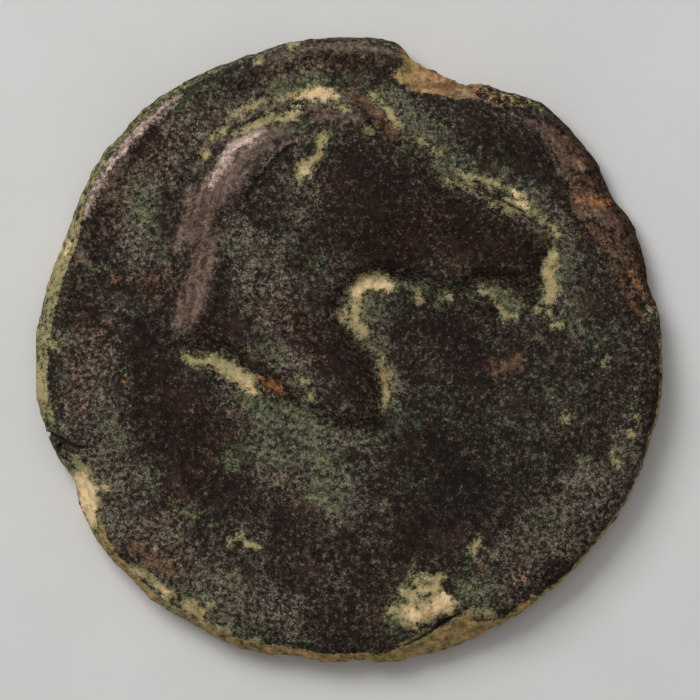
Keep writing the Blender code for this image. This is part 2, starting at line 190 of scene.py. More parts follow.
def between_knots(before, start, end, after, t):
    """The place at share t of the way from start to end, on a smooth line through all four knots."""
    bend = 2 * start + (end - before) * t + (2 * before - 5 * start + 4 * end - after) * t**2
    return (bend + (3 * start - 3 * end + after - before) * t**3) / 2


def curve(points, closed=False, step=0.2):
    """A smooth line through these points, as an array of places about a step apart."""
    knots = np.array(points, float)
    if closed:
        line = [knots[-1], *knots, knots[0], knots[1]]
    else:
        line = [2 * knots[0] - knots[1], *knots, 2 * knots[-1] - knots[-2]]
    found = []
    for before, start, end, after in zip(line, line[1:], line[2:], line[3:]):
        pieces = max(1, round(float(np.linalg.norm(end - start)) / step))
        found.append(between_knots(before, start, end, after, np.arange(pieces)[:, None] / pieces))
    found = np.vstack(found)
    return found if closed else np.vstack([found, knots[-1:]])


def nearest(places, line, closed=False):
    """Each place's distance from a line, how far along it that is from 0 to 1, and 1 on its left or -1."""
    ends = [*line[1:], line[0]] if closed else line[1:]
    apart, share, side = np.full(len(places), np.inf), np.zeros(len(places)), np.ones(len(places))
    for number, (start, end) in enumerate(zip(line, ends)):
        along = end - start
        x, y = (places - start).T
        t = np.clip((x * along[0] + y * along[1]) / (along @ along), 0, 1)
        far = np.hypot(x - t * along[0], y - t * along[1])
        closer = far < apart
        share = np.where(closer, (number + t) / len(ends), share)
        side = np.where(closer, np.sign(along[0] * y - along[1] * x), side)
        apart = np.where(closer, far, apart)
    return apart, share, side


def inside(places, outline):
    """Whether each place lies inside a closed outline, by counting crossings."""
    found = np.zeros(len(places), bool)
    x, y = places.T
    for (x0, y0), (x1, y1) in zip(outline, np.roll(outline, -1, axis=0)):
        if y0 != y1:
            found ^= ((y0 > y) != (y1 > y)) & (x < x0 + (y - y0) * (x1 - x0) / (y1 - y0))
    return found


def ridge(places, points, width, height, fade=0.15):
    """A rounded ridge along a line, or a groove where height is negative, which fades out at both ends."""
    apart, share, _ = nearest(places, curve(points))
    return height * np.exp(-((apart / width) ** 2)) * ease(np.minimum(share, 1 - share) / fade)


def mound(places, centre, radii, turn, height):
    """A smooth low mound with these half-widths, its first one turned this many degrees from +X."""
    x, y = (places - np.array(centre)).T
    c, s = math.cos(math.radians(turn)), math.sin(math.radians(turn))
    far = ((x * c + y * s) / radii[0]) ** 2 + ((y * c - x * s) / radii[1]) ** 2
    return height * np.clip(1 - far, 0, 1) ** 2


def ear(places):
    """A leaf-shaped ear, standing proud at its edges and hollow inside."""
    base, tip = np.array(EAR_BASE), np.array(EAR_TIP)
    middle, half = (base + tip) / 2, float(np.linalg.norm(tip - base)) / 2
    turn = math.degrees(math.atan2(*(tip - base)[::-1]))
    leaf = mound(places, middle, (half * 1.15, 0.58), turn, 0.3)
    return leaf - mound(places, middle, (half * 0.8, 0.3), turn, 0.26)


def horse(places):
    """Height of the horse above the field, and how far inside its outline each place lies."""
    outline = curve(HORSE, closed=True)
    apart, _, _ = nearest(places, outline, closed=True)
    depth = np.where(inside(places, outline), apart, -apart)
    shoulder = SHOULDER + WORN_SHOULDER * ease(-places[:, 0] / 2.0 - 2.0)
    body = ease(depth / shoulder)
    apart, along, side = nearest(places, curve(MANE_LOCK))
    off_lock = apart * side  # positive towards the horse's face
    lock = np.exp(-((off_lock / np.where(side > 0, LOCK_FRONT, LOCK_BACK)) ** 2))
    lock = lock * ease(np.minimum(along, 1.05 - along) / 0.1)
    strands = np.cos(off_lock * 2 * math.pi / STRAND_WIDTH + 5 * along)
    strands = strands * np.exp(-(((off_lock - 0.25) / 0.75) ** 4))
    apart, along, side = nearest(places, curve(MANE_FRONT))
    sheet = ease(0.5 - apart * side / SHEET_STEP) * np.exp(-((apart / SHEET_WIDTH) ** 2))
    sheet = sheet * ease(np.minimum(along, 1 - along) / 0.12)
    forms = LOCK_HEIGHT * lock + STRAND_HEIGHT * strands * lock + SHEET_HEIGHT * sheet + ear(places)
    for ridge_form in RIDGES:
        forms = forms + ridge(places, *ridge_form)
    for mound_form in MOUNDS:
        forms = forms + mound(places, *mound_form)
    return body * (RELIEF + forms), depth


# ----------------------------------------------------------
# The date palm: struck into the lower face by the other die, inside a flat worn border, and rubbed flat
# wherever it stood as high as that border. The coin rests on both.
BORDER, UNDERCUT = 1.15, 0.5
DISH, DISH_SLOPE, PALM_RELIEF = 0.22, 3.6, 0.24
PALM_TRUNK = ((0, 0.8), (0, 5.2))
GROUND_LINE = ((-2.4, 5.2), (0, 5.2), (2.4, 5.2))
FROND_REACH, FROND_DROOP, FROND_ANGLES = 4.7, 2.6, (8, 34, 62, 90, 118, 146, 172)
DATE_CLUSTERS = ((-1.35, 1.75), (1.35, 1.75))


def frond(angle):
    """The line of one frond, arching out from the crown at the coin's middle and drooping at its tip."""
    x, y = math.cos(math.radians(angle)), math.sin(math.radians(angle))
    shares = (0.1, 0.4, 0.7, 1.0)
    return [(FROND_REACH * t * x, FROND_DROOP * abs(x) * t**2.5 - FROND_REACH * t * y) for t in shares]


def palm(places):
    """Height of the palm: trunk, ground line, fronds and two clusters of dates."""
    found = mound(places, (0, 0), (1.25, 1.25), 0, 1.6)
    rings = 1 + 0.12 * np.cos(places[:, 1] * 2 * math.pi / 0.55)  # where old leaves fell from the trunk
    found = np.maximum(found, ridge(places, PALM_TRUNK, 0.42, 1, 0.04) * rings)
    found = np.maximum(found, ridge(places, GROUND_LINE, 0.26, 0.7))
    for angle in FROND_ANGLES:
        apart, share, _ = nearest(places, curve(frond(angle)))
        leaflets = 1 + 0.22 * np.cos(share * 2 * math.pi * 11 - apart * 6) * ease(apart / 0.2)
        found = np.maximum(found, ridge(places, frond(angle), 0.36, 0.9, 0.1) * leaflets)
    for cluster in DATE_CLUSTERS:
        dates = 1 + 0.15 * np.cos(places[:, 0] * 13) * np.cos(places[:, 1] * 13)
        found = np.maximum(found, mound(places, cluster, (0.6, 0.95), 0, 0.9) * dates)
    return PALM_RELIEF * found


def dish(places):
    """Height of the lower face above the table: nothing where it is worn flat."""
    radius, angle = polar(places)
    inset = widest(angle) - UNDERCUT - BORDER - radius
    return np.maximum(DISH - palm(places), 0) * ease(inset / DISH_SLOPE)


# ----------------------------------------------------------
# What burial did to the bronze: cream lime crust and green verdigris in the hollows beside the horse and
# along the edge, red cuprite and rusty ochre where the patina wore thin, cracks, and places rubbed
# smooth by handling, with a painted highlight along them. Each stroke runs through points of (x, y, half its
# width there).
LIME = (
    ((-2.2, 8.22, 0.07), (-1.6, 8.38, 0.16), (-1.12, 8.43, 0.26), (-0.7, 8.38, 0.18), (-0.42, 8.3, 0.06)),
    ((-0.42, 7.95, 0.05), (-0.08, 7.88, 0.04)),
    ((-1.68, 7.85, 0.09), (-1.86, 7.66, 0.13), (-2.56, 7.6, 0.07), (-3.23, 7.34, 0.09), (-3.74, 7.02, 0.05)),
    ((-2.1, 8.28, 0.04), (-2.98, 8.14, 0.04), (-3.57, 7.87, 0.05), (-3.91, 7.62, 0.04)),
    ((-4.55, 7.02, 0.05), (-4.15, 7.2, 0.08)), ((-4.86, 6.28, 0.07), (-4.72, 6.44, 0.08)),
    ((-0.91, 6.92, 0.19), (-1, 6.5, 0.06), (-0.88, 6.4, 0.09), (-1.15, 6.2, 0.11), (-1.5, 5.95, 0.24),
     (-1.65, 5.65, 0.1)),
    ((0.75, 8.35, 0.06), (1.1, 8.05, 0.09), (1.4, 7.65, 0.13), (1.65, 7.35, 0.08)),
    ((0.62, 7.28, 0.05), (0.7, 7.12, 0.05)),
    ((5.08, 4.93, 0.08), (5.42, 4.82, 0.1), (5.66, 4.66, 0.13), (5.86, 4.5, 0.08)),
    ((5.35, 5.2, 0.06), (5.6, 5.08, 0.08), (5.82, 4.9, 0.12)),
    ((3.35, 5.52, 0.07), (3.75, 5.45, 0.06), (4.08, 5.41, 0.08)),
    ((3.6, 5.78, 0.05), (4.3, 5.62, 0.08), (4.9, 5.4, 0.08)),
    ((2.15, 6.95, 0), (2.5, 6.76, 0.03), (2.88, 6.45, 0.02)), ((3.18, 1.8, 0.06), (3.28, 1.78, 0.1)),
    ((3.95, -8.6, 0.05), (4.4, -8.62, 0.09), (4.65, -8.72, 0.06)), ((4.68, 4.8, 0.05), (4.72, 4.8, 0.05)),
    ((5.12, 4.62, 0.07), (5.22, 4.58, 0.08)), ((6.05, 4.5, 0.05), (6.28, 4.32, 0.1), (6.5, 4.1, 0.05)),
    ((6.72, 3.95, 0.07), (6.8, 3.72, 0.1)),
    ((6.7, 3.18, 0.15), (6.56, 2.6, 0.23), (6.62, 2, 0.21), (6.5, 1.52, 0.12)),
    ((6.15, 1.38, 0.03), (6.53, 1.23, 0.03), (6.68, 0.85, 0.03)), ((4.3, 1.92, 0.05), (4.65, 1.8, 0.07)),
    ((4.8, 1.55, 0.03), (4.98, 1.28, 0.07), (5.08, 1.12, 0.09), (5.45, 1.13, 0.02)),
    ((0.16, 1.6, 0.17), (0.22, 1.95, 0.24), (0.55, 2.2, 0.26), (1, 2.22, 0.24), (1.35, 2.08, 0.14)),
    ((0.16, 1.6, 0.17), (0.18, 1.25, 0.2), (0.2, 0.88, 0.19), (0.44, 0.64, 0.2)),
    ((-0.4, 1.15, 0.07), (-0.17, 1.12, 0.18), (0.08, 1.12, 0.12)),
    ((1.07, -0.3, 0.05), (1.2, -0.85, 0.1), (1.2, -1.4, 0.09), (1.1, -1.9, 0.05)),
    ((-5.4, -0.15, 0.06), (-5.2, -0.35, 0.12), (-4.95, -0.4, 0.08), (-4.45, -0.35, 0.2),
     (-3.9, -0.72, 0.28), (-3.4, -1.05, 0.27), (-3.1, -1.35, 0.14)),
    ((-1.55, -1, 0.07), (-1.4, -1.08, 0.07)), ((-1.35, -1.6, 0.05), (-1.25, -1.65, 0.06)),
    ((1.45, -8.52, 0.16), (1.8, -8.62, 0.25), (2.15, -8.68, 0.32), (2.6, -8.6, 0.32)),
    ((2.45, -8.35, 0.22), (2.85, -8.28, 0.36), (3.15, -8.4, 0.34), (3.28, -8.6, 0.18)),
    ((1.75, -7.98, 0.12), (2.02, -8.02, 0.16), (2.15, -8.4, 0.18)),
    ((2.05, -7.6, 0.1), (2.5, -7.52, 0.12), (2.95, -7.52, 0.13), (2.9, -7.75, 0.12)),
    ((2.3, -7.85, 0.13), (2.75, -7.88, 0.16)), ((1.95, -8.98, 0.16), (2.1, -9.08, 0.13)),
    ((2.4, -9.42, 0.07), (2.62, -9.24, 0.06)), ((1.88, -9.65, 0.07), (2.12, -9.6, 0.08)),
    ((-8.96, -3.58, 0.07), (-8.88, -4.1, 0.24), (-8.67, -4.5, 0.34), (-8.6, -5, 0.34), (-8.5, -5.5, 0.2),
     (-8.45, -5.8, 0.1)),
    ((-8.08, -4.5, 0.09), (-8, -4.58, 0.11)),
    ((-7.15, -7.25, 0.08), (-6.85, -7.38, 0.1), (-6.5, -7.6, 0.1)),
    ((-6.35, -7.75, 0.1), (-6, -7.95, 0.15), (-5.75, -8.1, 0.1)),
    ((-5.75, -8.6, 0.08), (-5.65, -8.6, 0.07)),
    ((-5.45, -8.38, 0.17), (-5.15, -8.5, 0.26), (-4.9, -8.68, 0.19)),
    ((-5, -8.86, 0.09), (-4.76, -8.95, 0.08)), ((-6.15, -8.14, 0.08), (-5.96, -8.32, 0.06)),
    ((-4.68, -8.36, 0.07), (-4.6, -8.36, 0.07)), ((-4.4, -9.1, 0.07), (-4.05, -9.25, 0.1)),
    ((-3.2, -9.62, 0.07), (-3, -9.68, 0.07)),
    ((-9.2, 3.75, 0.06), (-9.35, 3.2, 0.11), (-9.65, 2.65, 0.09), (-9.9, 2.1, 0.08)),
    ((-10.02, 0.32, 0.13), (-9.68, 0.2, 0.12)),
    ((-10.18, -0.75, 0.07), (-10.14, -1.2, 0.12), (-10.05, -1.6, 0.1)),
    ((-1.98, 9.95, 0.09), (-1.76, 10.02, 0.07)), ((-3.1, 9.45, 0.06), (-2.9, 9.52, 0.06)),
    ((-3.95, -6.28, 0.07), (-3.85, -6.22, 0.05)), ((-3.7, -6.18, 0.05), (-3.6, -6.12, 0.07)),
    ((-3.4, -6.4, 0.05), (-3.08, -6.45, 0.09)), ((4.22, -6.34, 0.07), (3.98, -6.62, 0.04)),
    ((8.7, -3.46, 0.07), (8.75, -3.68, 0.09)), ((9.24, -2.66, 0.06), (9.32, -2.82, 0.06)),
    ((9.35, -2.22, 0.05), (9.4, -2.28, 0.05)), ((7.02, -2.25, 0.08), (7.12, -2.3, 0.05)),
    ((6.85, 0.76, 0.05), (6.92, 0.76, 0.05)), ((8.36, -0.3, 0.04), (8.42, -0.45, 0.05)),
    ((9.88, 1.28, 0.05), (9.94, 1.15, 0.05)), ((2.2, 1.62, 0.05), (2.26, 1.66, 0.05)),
    ((3.55, 8.55, 0.08), (3.75, 8.5, 0.09)),
)
CHALK = (  # where the lime lies thickest and is palest
    ((-1.68, 8.36, 0.11), (-1.1, 8.4, 0.2), (-0.68, 8.42, 0.15), (-0.5, 8.37, 0.05)),
    ((-1.76, 7.96, 0.06), (-1.72, 7.92, 0.06)), ((-1.45, 5.9, 0.1), (-1.38, 5.84, 0.1)),
    ((0.2, 1.9, 0.1), (0.6, 2.15, 0.12), (1.3, 2.1, 0.1)), ((-3.32, -1.12, 0.06), (-3.16, -1.4, 0.06)),
    ((-8.85, -4.25, 0.21), (-8.66, -4.72, 0.3), (-8.6, -5.2, 0.25), (-8.48, -5.6, 0.13)),
    ((2.75, -8.5, 0.15), (3.1, -8.25, 0.26), (3.2, -8.45, 0.15)), ((1.9, -8.6, 0.12), (2.15, -8.75, 0.2)),
    ((5.4, 5.22, 0.06), (5.6, 4.88, 0.08), (5.75, 4.66, 0.07)), ((-9.25, 3.6, 0.05), (-9.35, 3.2, 0.06)),
    ((-6.1, -7.95, 0.07), (-6, -7.98, 0.08)),
)
PITS = (  # where the crust has flaked back to the bronze
    ((1.54, -8.12, 0.07), (1.67, -8.3, 0.09)), ((2.33, -8.06, 0.06), (2.37, -8.19, 0.06)),
    ((2.12, -8.28, 0.05), (2.22, -8.36, 0.05)), ((2.66, -8.32, 0.04), (2.7, -8.32, 0.04)),
    ((2.64, -8.97, 0.06), (2.87, -8.95, 0.07)), ((1.82, -9.25, 0.1), (2.38, -9.32, 0.11)),
    ((-5.47, -8.66, 0.06), (-5.42, -8.68, 0.06)), ((-4.72, -8.8, 0.05), (-4.66, -8.82, 0.05)),
    ((5.44, 5.03, 0.05), (5.5, 5.05, 0.06)),
)
VERDIGRIS = (
    ((-2.8, -1.72, 0.22), (-2.05, -1.98, 0.28), (-1.46, -2.32, 0.22), (-0.87, -2.5, 0.12)),
    ((-3.6, -1.45, 0.16), (-2.9, -1.9, 0.25)), ((-3.3, -0.05, 0.12), (-3.1, -0.12, 0.12)),
    ((-2.42, -0.05, 0.1), (-2.32, -0.14, 0.1)),
    ((3.95, 1.84, 0.06), (4.35, 1.95, 0.16), (4.75, 1.95, 0.26), (5.1, 1.6, 0.32), (5.45, 1.4, 0.24),
     (5.82, 1.35, 0.1)),
    ((6.3, 1.85, 0.11), (6.3, 1.5, 0.1)), ((1.55, 2.12, 0.13), (2.25, 1.98, 0.15), (2.55, 1.9, 0.06)),
    ((2.95, 1.62, 0.12), (3, 1.98, 0.1), (3.27, 1.78, 0.18)), ((-0.45, 1.18, 0.1), (-0.65, 1.18, 0.05)),
    ((-0.05, 0.92, 0.11), (0.32, 0.48, 0.17), (0.66, 0.14, 0.16), (0.78, 0, 0.08)),
    ((0.6, 1.2, 0.11), (0.86, 1.08, 0.14), (1.12, 0.98, 0.07)),
    ((2.85, 6.5, 0.08), (3, 6.2, 0.14), (3.2, 5.75, 0.22), (3.55, 5.5, 0.08)),
    ((-1.1, 8.82, 0.27), (-1.8, 8.55, 0.14), (-0.5, 8.6, 0.12)), ((-3, 8.3, 0.08), (-2.3, 8.4, 0.1)),
    ((-2.35, 8.7, 0.09), (-2.2, 8.7, 0.09)), ((-2.1, 7.3, 0.14), (-1.6, 7.2, 0.09)),
    ((0.5, 8.55, 0.08), (0.95, 8.25, 0.06)), ((1.35, 8.6, 0.1), (1.5, 8.65, 0.09)),
    ((1.55, 6.65, 0.12), (1.8, 6.62, 0.12)), ((0.3, 10.2, 0.07), (1.1, 10.15, 0.09)),
    ((1.6, 9.3, 0.1), (1.75, 8.95, 0.08)), ((-4.1, -3.36, 0.13), (-3.98, -3.78, 0.15)),
    ((-3.55, -3.15, 0.07), (-3.5, -3.25, 0.07)), ((-2.45, -3.4, 0.24), (-2.2, -3.75, 0.16)),
    ((-1.35, -3.2, 0.2), (-0.95, -3.6, 0.22), (-0.9, -4.1, 0.14)), ((-1.4, -4.75, 0.2), (-0.5, -5.05, 0.2)),
    ((-8.4, -1.9, 0.09), (-7.85, -2.48, 0.12)), ((-7.7, -3.1, 0.11), (-7.42, -3.16, 0.13)),
    ((-7.4, -0.5, 0.05), (-7.3, -0.92, 0.08), (-7.27, -1.15, 0.06)),
    ((-7.12, 1.25, 0.08), (-7.05, 1.22, 0.08)), ((-6.6, -4.36, 0.07), (-6.42, -4.46, 0.09)),
    ((-5.85, -4.85, 0.08), (-5.75, -4.9, 0.07)), ((-5.6, -5.3, 0.11), (-5.05, -5.38, 0.13)),
    ((-5.85, -5.95, 0.03), (-5.6, -5.75, 0.04)), ((-4.62, -5.74, 0.07), (-4.38, -5.78, 0.08)),
    ((-4.84, -7.27, 0.08), (-4.76, -7.27, 0.08)), ((-3.85, -7.68, 0.09), (-3.75, -7.72, 0.09)),
    ((-5.45, -8.1, 0.14), (-5.35, -8.1, 0.14)), ((-5.72, -8.4, 0.07), (-5.66, -8.4, 0.07)),
    ((-3.52, -8.05, 0.09), (-3.46, -8.26, 0.12)), ((-3.62, -9.1, 0.09), (-3.55, -9.4, 0.09)),
    ((1.22, -8.5, 0.12), (1.4, -8.35, 0.1)), ((1.35, -8.78, 0.16), (1.42, -9.05, 0.19), (1.56, -9.28, 0.1)),
    ((3.15, -9.45, 0.11), (3.6, -9.35, 0.14), (4, -9.28, 0.1)),
    ((3.95, -8.58, 0.12), (4.4, -8.68, 0.2), (4.68, -8.66, 0.12)),
    ((3.75, -7.65, 0.08), (4.25, -7.85, 0.09)), ((4.42, -8.2, 0.09), (4.5, -8.25, 0.09)),
    ((-9.12, -3.58, 0.16), (-8.85, -3.8, 0.09)), ((-9.95, -1.95, 0.12), (-9.86, -2.25, 0.12)),
    ((-8.5, 2.62, 0.06), (-8.05, 2.55, 0.05)), ((-1.12, 2.66, 0.13), (-0.94, 2.82, 0.08)),
    ((-7.3, 5.5, 0.12), (-6.95, 5.2, 0.12)), ((-6.85, 5, 0.15), (-6.78, 4.4, 0.11)),
    ((-6.25, 3.05, 0.13), (-6.15, 3.05, 0.13)), ((-3.9, 3.4, 0.07), (-3.7, 3.2, 0.09)),
    ((-5.6, 8, 0.14), (-5.2, 8.35, 0.1)), ((7.38, 2.85, 0.1), (7.46, 2.85, 0.1)),
    ((7.66, -3.75, 0.08), (7.74, -3.75, 0.07)), ((6.6, -1.25, 0.06), (6.68, -1.18, 0.05)),
    ((9.25, -1.65, 0.08), (9.38, -1.68, 0.07)),
)
TAN = (  # a smooth fawn crust, mostly on broken and upturned edges
    ((2.15, -9.78, 0.12), (2.65, -9.52, 0.17), (3.15, -9.22, 0.18), (3.6, -8.95, 0.18), (3.95, -8.72, 0.15)),
    ((4.05, 5.27, 0.03), (4.3, 5.17, 0.03)),
    ((1.75, 9, 0.28), (2.5, 9, 0.3), (3.1, 8.75, 0.22), (3.5, 8.6, 0.1)),
    ((0.4, -10.05, 0.07), (1.3, -10.15, 0.08)),
    ((4.6, -9.15, 0.06), (5.4, -8.65, 0.07), (6.1, -8.15, 0.06)),
)
CUPRITE = (
    ((0, 8.4, 0.13), (0.5, 8.25, 0.15), (0.95, 7.85, 0.15), (1.25, 7.35, 0.14), (1.5, 6.98, 0.1)),
    ((4.57, -0.12, 0.05), (4.66, -0.42, 0.11), (4.85, -0.62, 0.2), (5.2, -0.62, 0.18), (5.45, -0.45, 0.26),
     (5.58, -0.22, 0.22)),
    ((6.48, 3.95, 0.1), (6.5, 3.5, 0.12)), ((-6.45, 6.75, 0.09), (-6.35, 6.75, 0.09)),
    ((-7.8, 2.35, 0.06), (-7.7, 2.35, 0.07)), ((-6.5, 2.42, 0.11), (-6.4, 2.38, 0.11)),
    ((-6.35, 1.72, 0.1), (-6.25, 1.68, 0.1)), ((-5.05, 2.7, 0.06), (-4.95, 2.45, 0.08)),
    ((-4.78, 3.15, 0.05), (-4.72, 3.15, 0.05)), ((-5.42, 1.22, 0.07), (-5.28, 1.18, 0.07)),
    ((-7.2, -6.45, 0.12), (-6.95, -6.58, 0.24), (-6.4, -6.95, 0.27), (-5.95, -7.32, 0.14)),
    ((8.55, 3.3, 0.07), (8.7, 2.8, 0.1), (9, 2.1, 0.08), (9.3, 1.5, 0.1), (9.65, 1.05, 0.1)),
    ((-2.78, 7.08, 0.06), (-2.7, 7.05, 0.06)), ((-8.92, -2.2, 0.08), (-8.86, -2.22, 0.08)),
    ((-9.35, -1.35, 0.1), (-9.25, -1.35, 0.1)), ((-8.76, 0.68, 0.08), (-8.7, 0.62, 0.08)),
    ((-9.48, -3.32, 0.06), (-9.42, -3.28, 0.06)), ((-4.4, -8.88, 0.05), (-4, -8.82, 0.05)),
)
OCHRE = (
    ((-3, -0.9, 0.05), (-2.55, -1.12, 0.15), (-2.15, -1.45, 0.08)),
    ((7.5, 4.95, 0.05), (7.8, 4.88, 0.12), (8.15, 4.9, 0.16), (8.48, 4.86, 0.1)),
    ((1.08, -0.7, 0.06), (1.14, -1.05, 0.07)), ((-8.88, 4.55, 0.05), (-8.86, 4.48, 0.05)),
    ((-7.46, -1, 0.04), (-7.42, -1.02, 0.04)), ((9.3, 2.6, 0.06), (9.55, 1.95, 0.06)),
    ((5.62, -7.45, 0.07), (5.68, -7.45, 0.07)), ((4.18, -7.1, 0.07), (4.24, -7.06, 0.07)),
)
PINK = (  # copper showing through, almost bare
    ((-6.38, -6.5, 0.08), (-6.32, -6.53, 0.1)), ((1.9, 8.62, 0.1), (2.32, 8.48, 0.13)),
    ((6.9, 7.15, 0.05), (7.12, 7, 0.06)), ((7.4, 6.4, 0.08), (7.6, 5.95, 0.12)),
    ((7.95, 4.6, 0.1), (8.3, 4.42, 0.1)), ((8.75, 4.35, 0.06), (8.85, 4.2, 0.07)),
    ((8.58, 3.62, 0.07), (8.62, 3.55, 0.07)), ((4.25, 2.1, 0.06), (4.32, 2.05, 0.06)),
    ((4.72, 2.25, 0.05), (4.78, 2.22, 0.05)), ((-9.58, 0.62, 0.08), (-9.52, 0.58, 0.08)),
)
CREST_HIGHLIGHTS = (  # sharp worn edges, raised a little, with a painted highlight along them
    ((2.6, 8.48, 0.03), (3.15, 8.24, 0.05), (3.54, 8.36, 0.04), (4.28, 8.24, 0.04), (4.96, 7.98, 0.04),
     (5.48, 7.67, 0.04), (6.12, 7.44, 0.03)),
    ((6.65, 6.4, 0.02), (7.3, 5.25, 0.03), (7.95, 4.1, 0.03)),
    ((3.4, 5.45, 0.03), (4.1, 5.08, 0.05), (4.75, 4.83, 0.05), (5.3, 4.6, 0.05), (5.85, 4.25, 0.05)),
    ((-1.47, 6.99, 0.03), (-2.05, 6.76, 0.05), (-2.53, 6.37, 0.05), (-2.9, 5.85, 0.04)),
    ((2.4, 7.1, 0.05), (2.62, 7, 0.08), (2.85, 6.75, 0.04)),
)
# Places rubbed smooth by handling, along the mane and the upper left rim, with a painted highlight along
# them.
RUBBED_HIGHLIGHTS = (
    ((-2.85, 7.18, 0.01), (-3.35, 6.93, 0.08), (-3.8, 6.65, 0.11), (-4.05, 6.25, 0.14), (-4.35, 5.8, 0.11),
     (-4.6, 5.4, 0.01)),
    ((-8.72, 4.35, 0), (-8.47, 5, 0.04), (-8.2, 5.5, 0.05), (-7.95, 6.02, 0.06), (-7.74, 6.26, 0.07)),
    ((-7.74, 6.26, 0.06), (-7.2, 6.98, 0.04), (-6.75, 7.45, 0.06), (-6.12, 7.98, 0.03), (-5.55, 8.35, 0)),
)
WORN = (  # half smooth: the mane, the poll, the rims and the right edge
    ((-1.95, 7.35, 0.12), (-2.45, 7.15, 0.28), (-3, 6.7, 0.42), (-3.6, 6.15, 0.46), (-4.2, 5.5, 0.52),
     (-4.8, 4.85, 0.58), (-4.98, 4.3, 0.54), (-5, 3.95, 0.46)),
    ((-4.72, 3.7, 0.34), (-4.75, 3.1, 0.34), (-4.9, 2.5, 0.38), (-5.15, 1.9, 0.42), (-5.25, 1.4, 0.44),
     (-5.4, 0.95, 0.32)),
    ((-5.52, 3.95, 0.12), (-5.7, 3.45, 0.2)),
    ((-2.15, 8.06, 0.07), (-3.05, 7.98, 0.1), (-3.95, 7.42, 0.08)), ((-4.05, 7, 0.07), (-4.8, 6.7, 0.1)),
    ((-4.35, 6.45, 0.07), (-5.1, 5.92, 0.11)),
    ((-3, 9.42, 0.06), (-2.2, 9.7, 0.1), (-1.2, 9.9, 0.14), (0, 10, 0.14), (0.9, 9.9, 0.17),
     (1.35, 9.75, 0.14)),
    ((-1.3, 7.98, 0.08), (-0.5, 8.1, 0.1), (0, 8.35, 0.1), (0.5, 8.12, 0.12), (1, 7.65, 0.12)),
    ((-1.05, 7.62, 0.06), (-0.45, 7.7, 0.14), (0.25, 7.62, 0.12)),
    ((-9.1, 3.4, 0.1), (-8.8, 3.05, 0.13), (-8.55, 2.85, 0.07)),
    ((-8, 5.2, 0.1), (-7.7, 5.75, 0.16), (-7.35, 6.4, 0.12)),
    ((5.95, 7.52, 0.08), (6.45, 7.2, 0.18), (6.85, 6.75, 0.22), (6.95, 6.2, 0.2), (7.05, 5.8, 0.14)),
    ((7.45, 6.4, 0.12), (7.6, 6, 0.1)),
    ((7.55, 5.15, 0.15), (7.95, 4.75, 0.2), (8.45, 4.4, 0.28), (8.8, 4.1, 0.18)),
)
MOSS = (  # where the bronze has turned green
    ((-3, -2.1, 0.5), (-1.6, -2.8, 0.9), (-0.8, -3.6, 0.8), (-0.6, -4.9, 0.45)),
    ((-2.5, -3.5, 0.45), (-4, -3.5, 0.25)), ((0.4, -3, 0.5), (1.6, -2.2, 0.4), (2.6, -1.8, 0.3)),
    ((1.5, 8, 0.3), (2.5, 7.1, 0.55), (3.6, 6.3, 0.55), (5, 5.6, 0.45), (6.2, 5, 0.3)),
    ((7.1, 2.8, 0.45), (7.3, 1.5, 0.45), (7.9, 0.2, 0.4)),
    ((-2.3, 8.7, 0.3), (-1.1, 8.8, 0.4), (0.2, 8.7, 0.25)), ((-6.8, 5, 0.4), (-6.2, 3.6, 0.28)),
    ((-5.4, 8.3, 0.25), (-4.2, 8.9, 0.25)), ((-2.6, 0.1, 0.3), (-3.1, 1, 0.25)),
    ((-10, 1.8, 0.35), (-10.1, -0.4, 0.38), (-9.7, -2.4, 0.2)), ((-7.9, -2.4, 0.2), (-7.4, -3.1, 0.15)),
    ((5.8, -6.2, 0.2), (6.6, -5.4, 0.25)), ((3.5, -8, 0.35), (4.3, -8.2, 0.3)),
    ((-7.4, -7, 0.15), (-5.4, -8.4, 0.25), (-3.4, -9.4, 0.25), (-1.6, -9.8, 0.2)),
    ((0.4, 1.4, 0.3), (1.4, 1.3, 0.2), (2.2, 1.8, 0.2)),
)
SMOKY = (  # where it is a cold greenish grey
    ((1.5, -1.4, 0.3), (2.6, -2.6, 0.9), (4.4, -2.4, 1.3), (6.6, -1.6, 1.2), (8, 0.2, 0.8)),
    ((2.8, -4.4, 0.9), (4.6, -4.6, 1), (6.2, -3.8, 0.9)), ((3, -6.2, 0.6), (4.6, -7.4, 0.6)),
    ((3.2, 7.4, 0.5), (5, 6.6, 0.6)), ((-1.9, 4.9, 0.35), (-1.6, 3.4, 0.3)),
)
WARM = (  # where it is a reddish brown
    ((-0.4, 5.4, 0.5), (0.6, 4.2, 1.3), (2.8, 4, 1.1), (4.8, 3.3, 1), (5.6, 2.6, 0.6)),
    ((-2.6, 1.2, 0.3), (-1.6, 0.9, 0.6), (-0.7, -0.3, 0.6), (0.2, -1.5, 0.6)),
    ((-7.6, 2.3, 0.25), (-6.4, 2, 0.5), (-5.2, 1.5, 0.7), (-4.2, 0.2, 0.35)),
    ((-0.6, 7.9, 0.35), (0.3, 7.7, 0.4), (1.2, 7, 0.3)),
    ((-5.9, 7, 0.4), (-7.2, 5.8, 0.45), (-8.2, 4.2, 0.5)),
    ((-9, 2, 0.35), (-8.4, 0.6, 0.4), (-9, -1.8, 0.35)),
    ((-6.8, -0.4, 0.7), (-5.6, -1.8, 0.8), (-4.8, -3.2, 0.8), (-5.6, -5, 0.6)),
    ((-6.9, -6.6, 0.5), (-5.8, -7, 0.4)), ((1.4, -6.6, 0.5), (2.6, -6.9, 0.5)),
    ((1.2, -8.2, 0.5), (0.6, -9.2, 0.4)), ((-2.8, 9, 0.2), (-0.6, 9.5, 0.4), (1.2, 9.4, 0.35)),
)
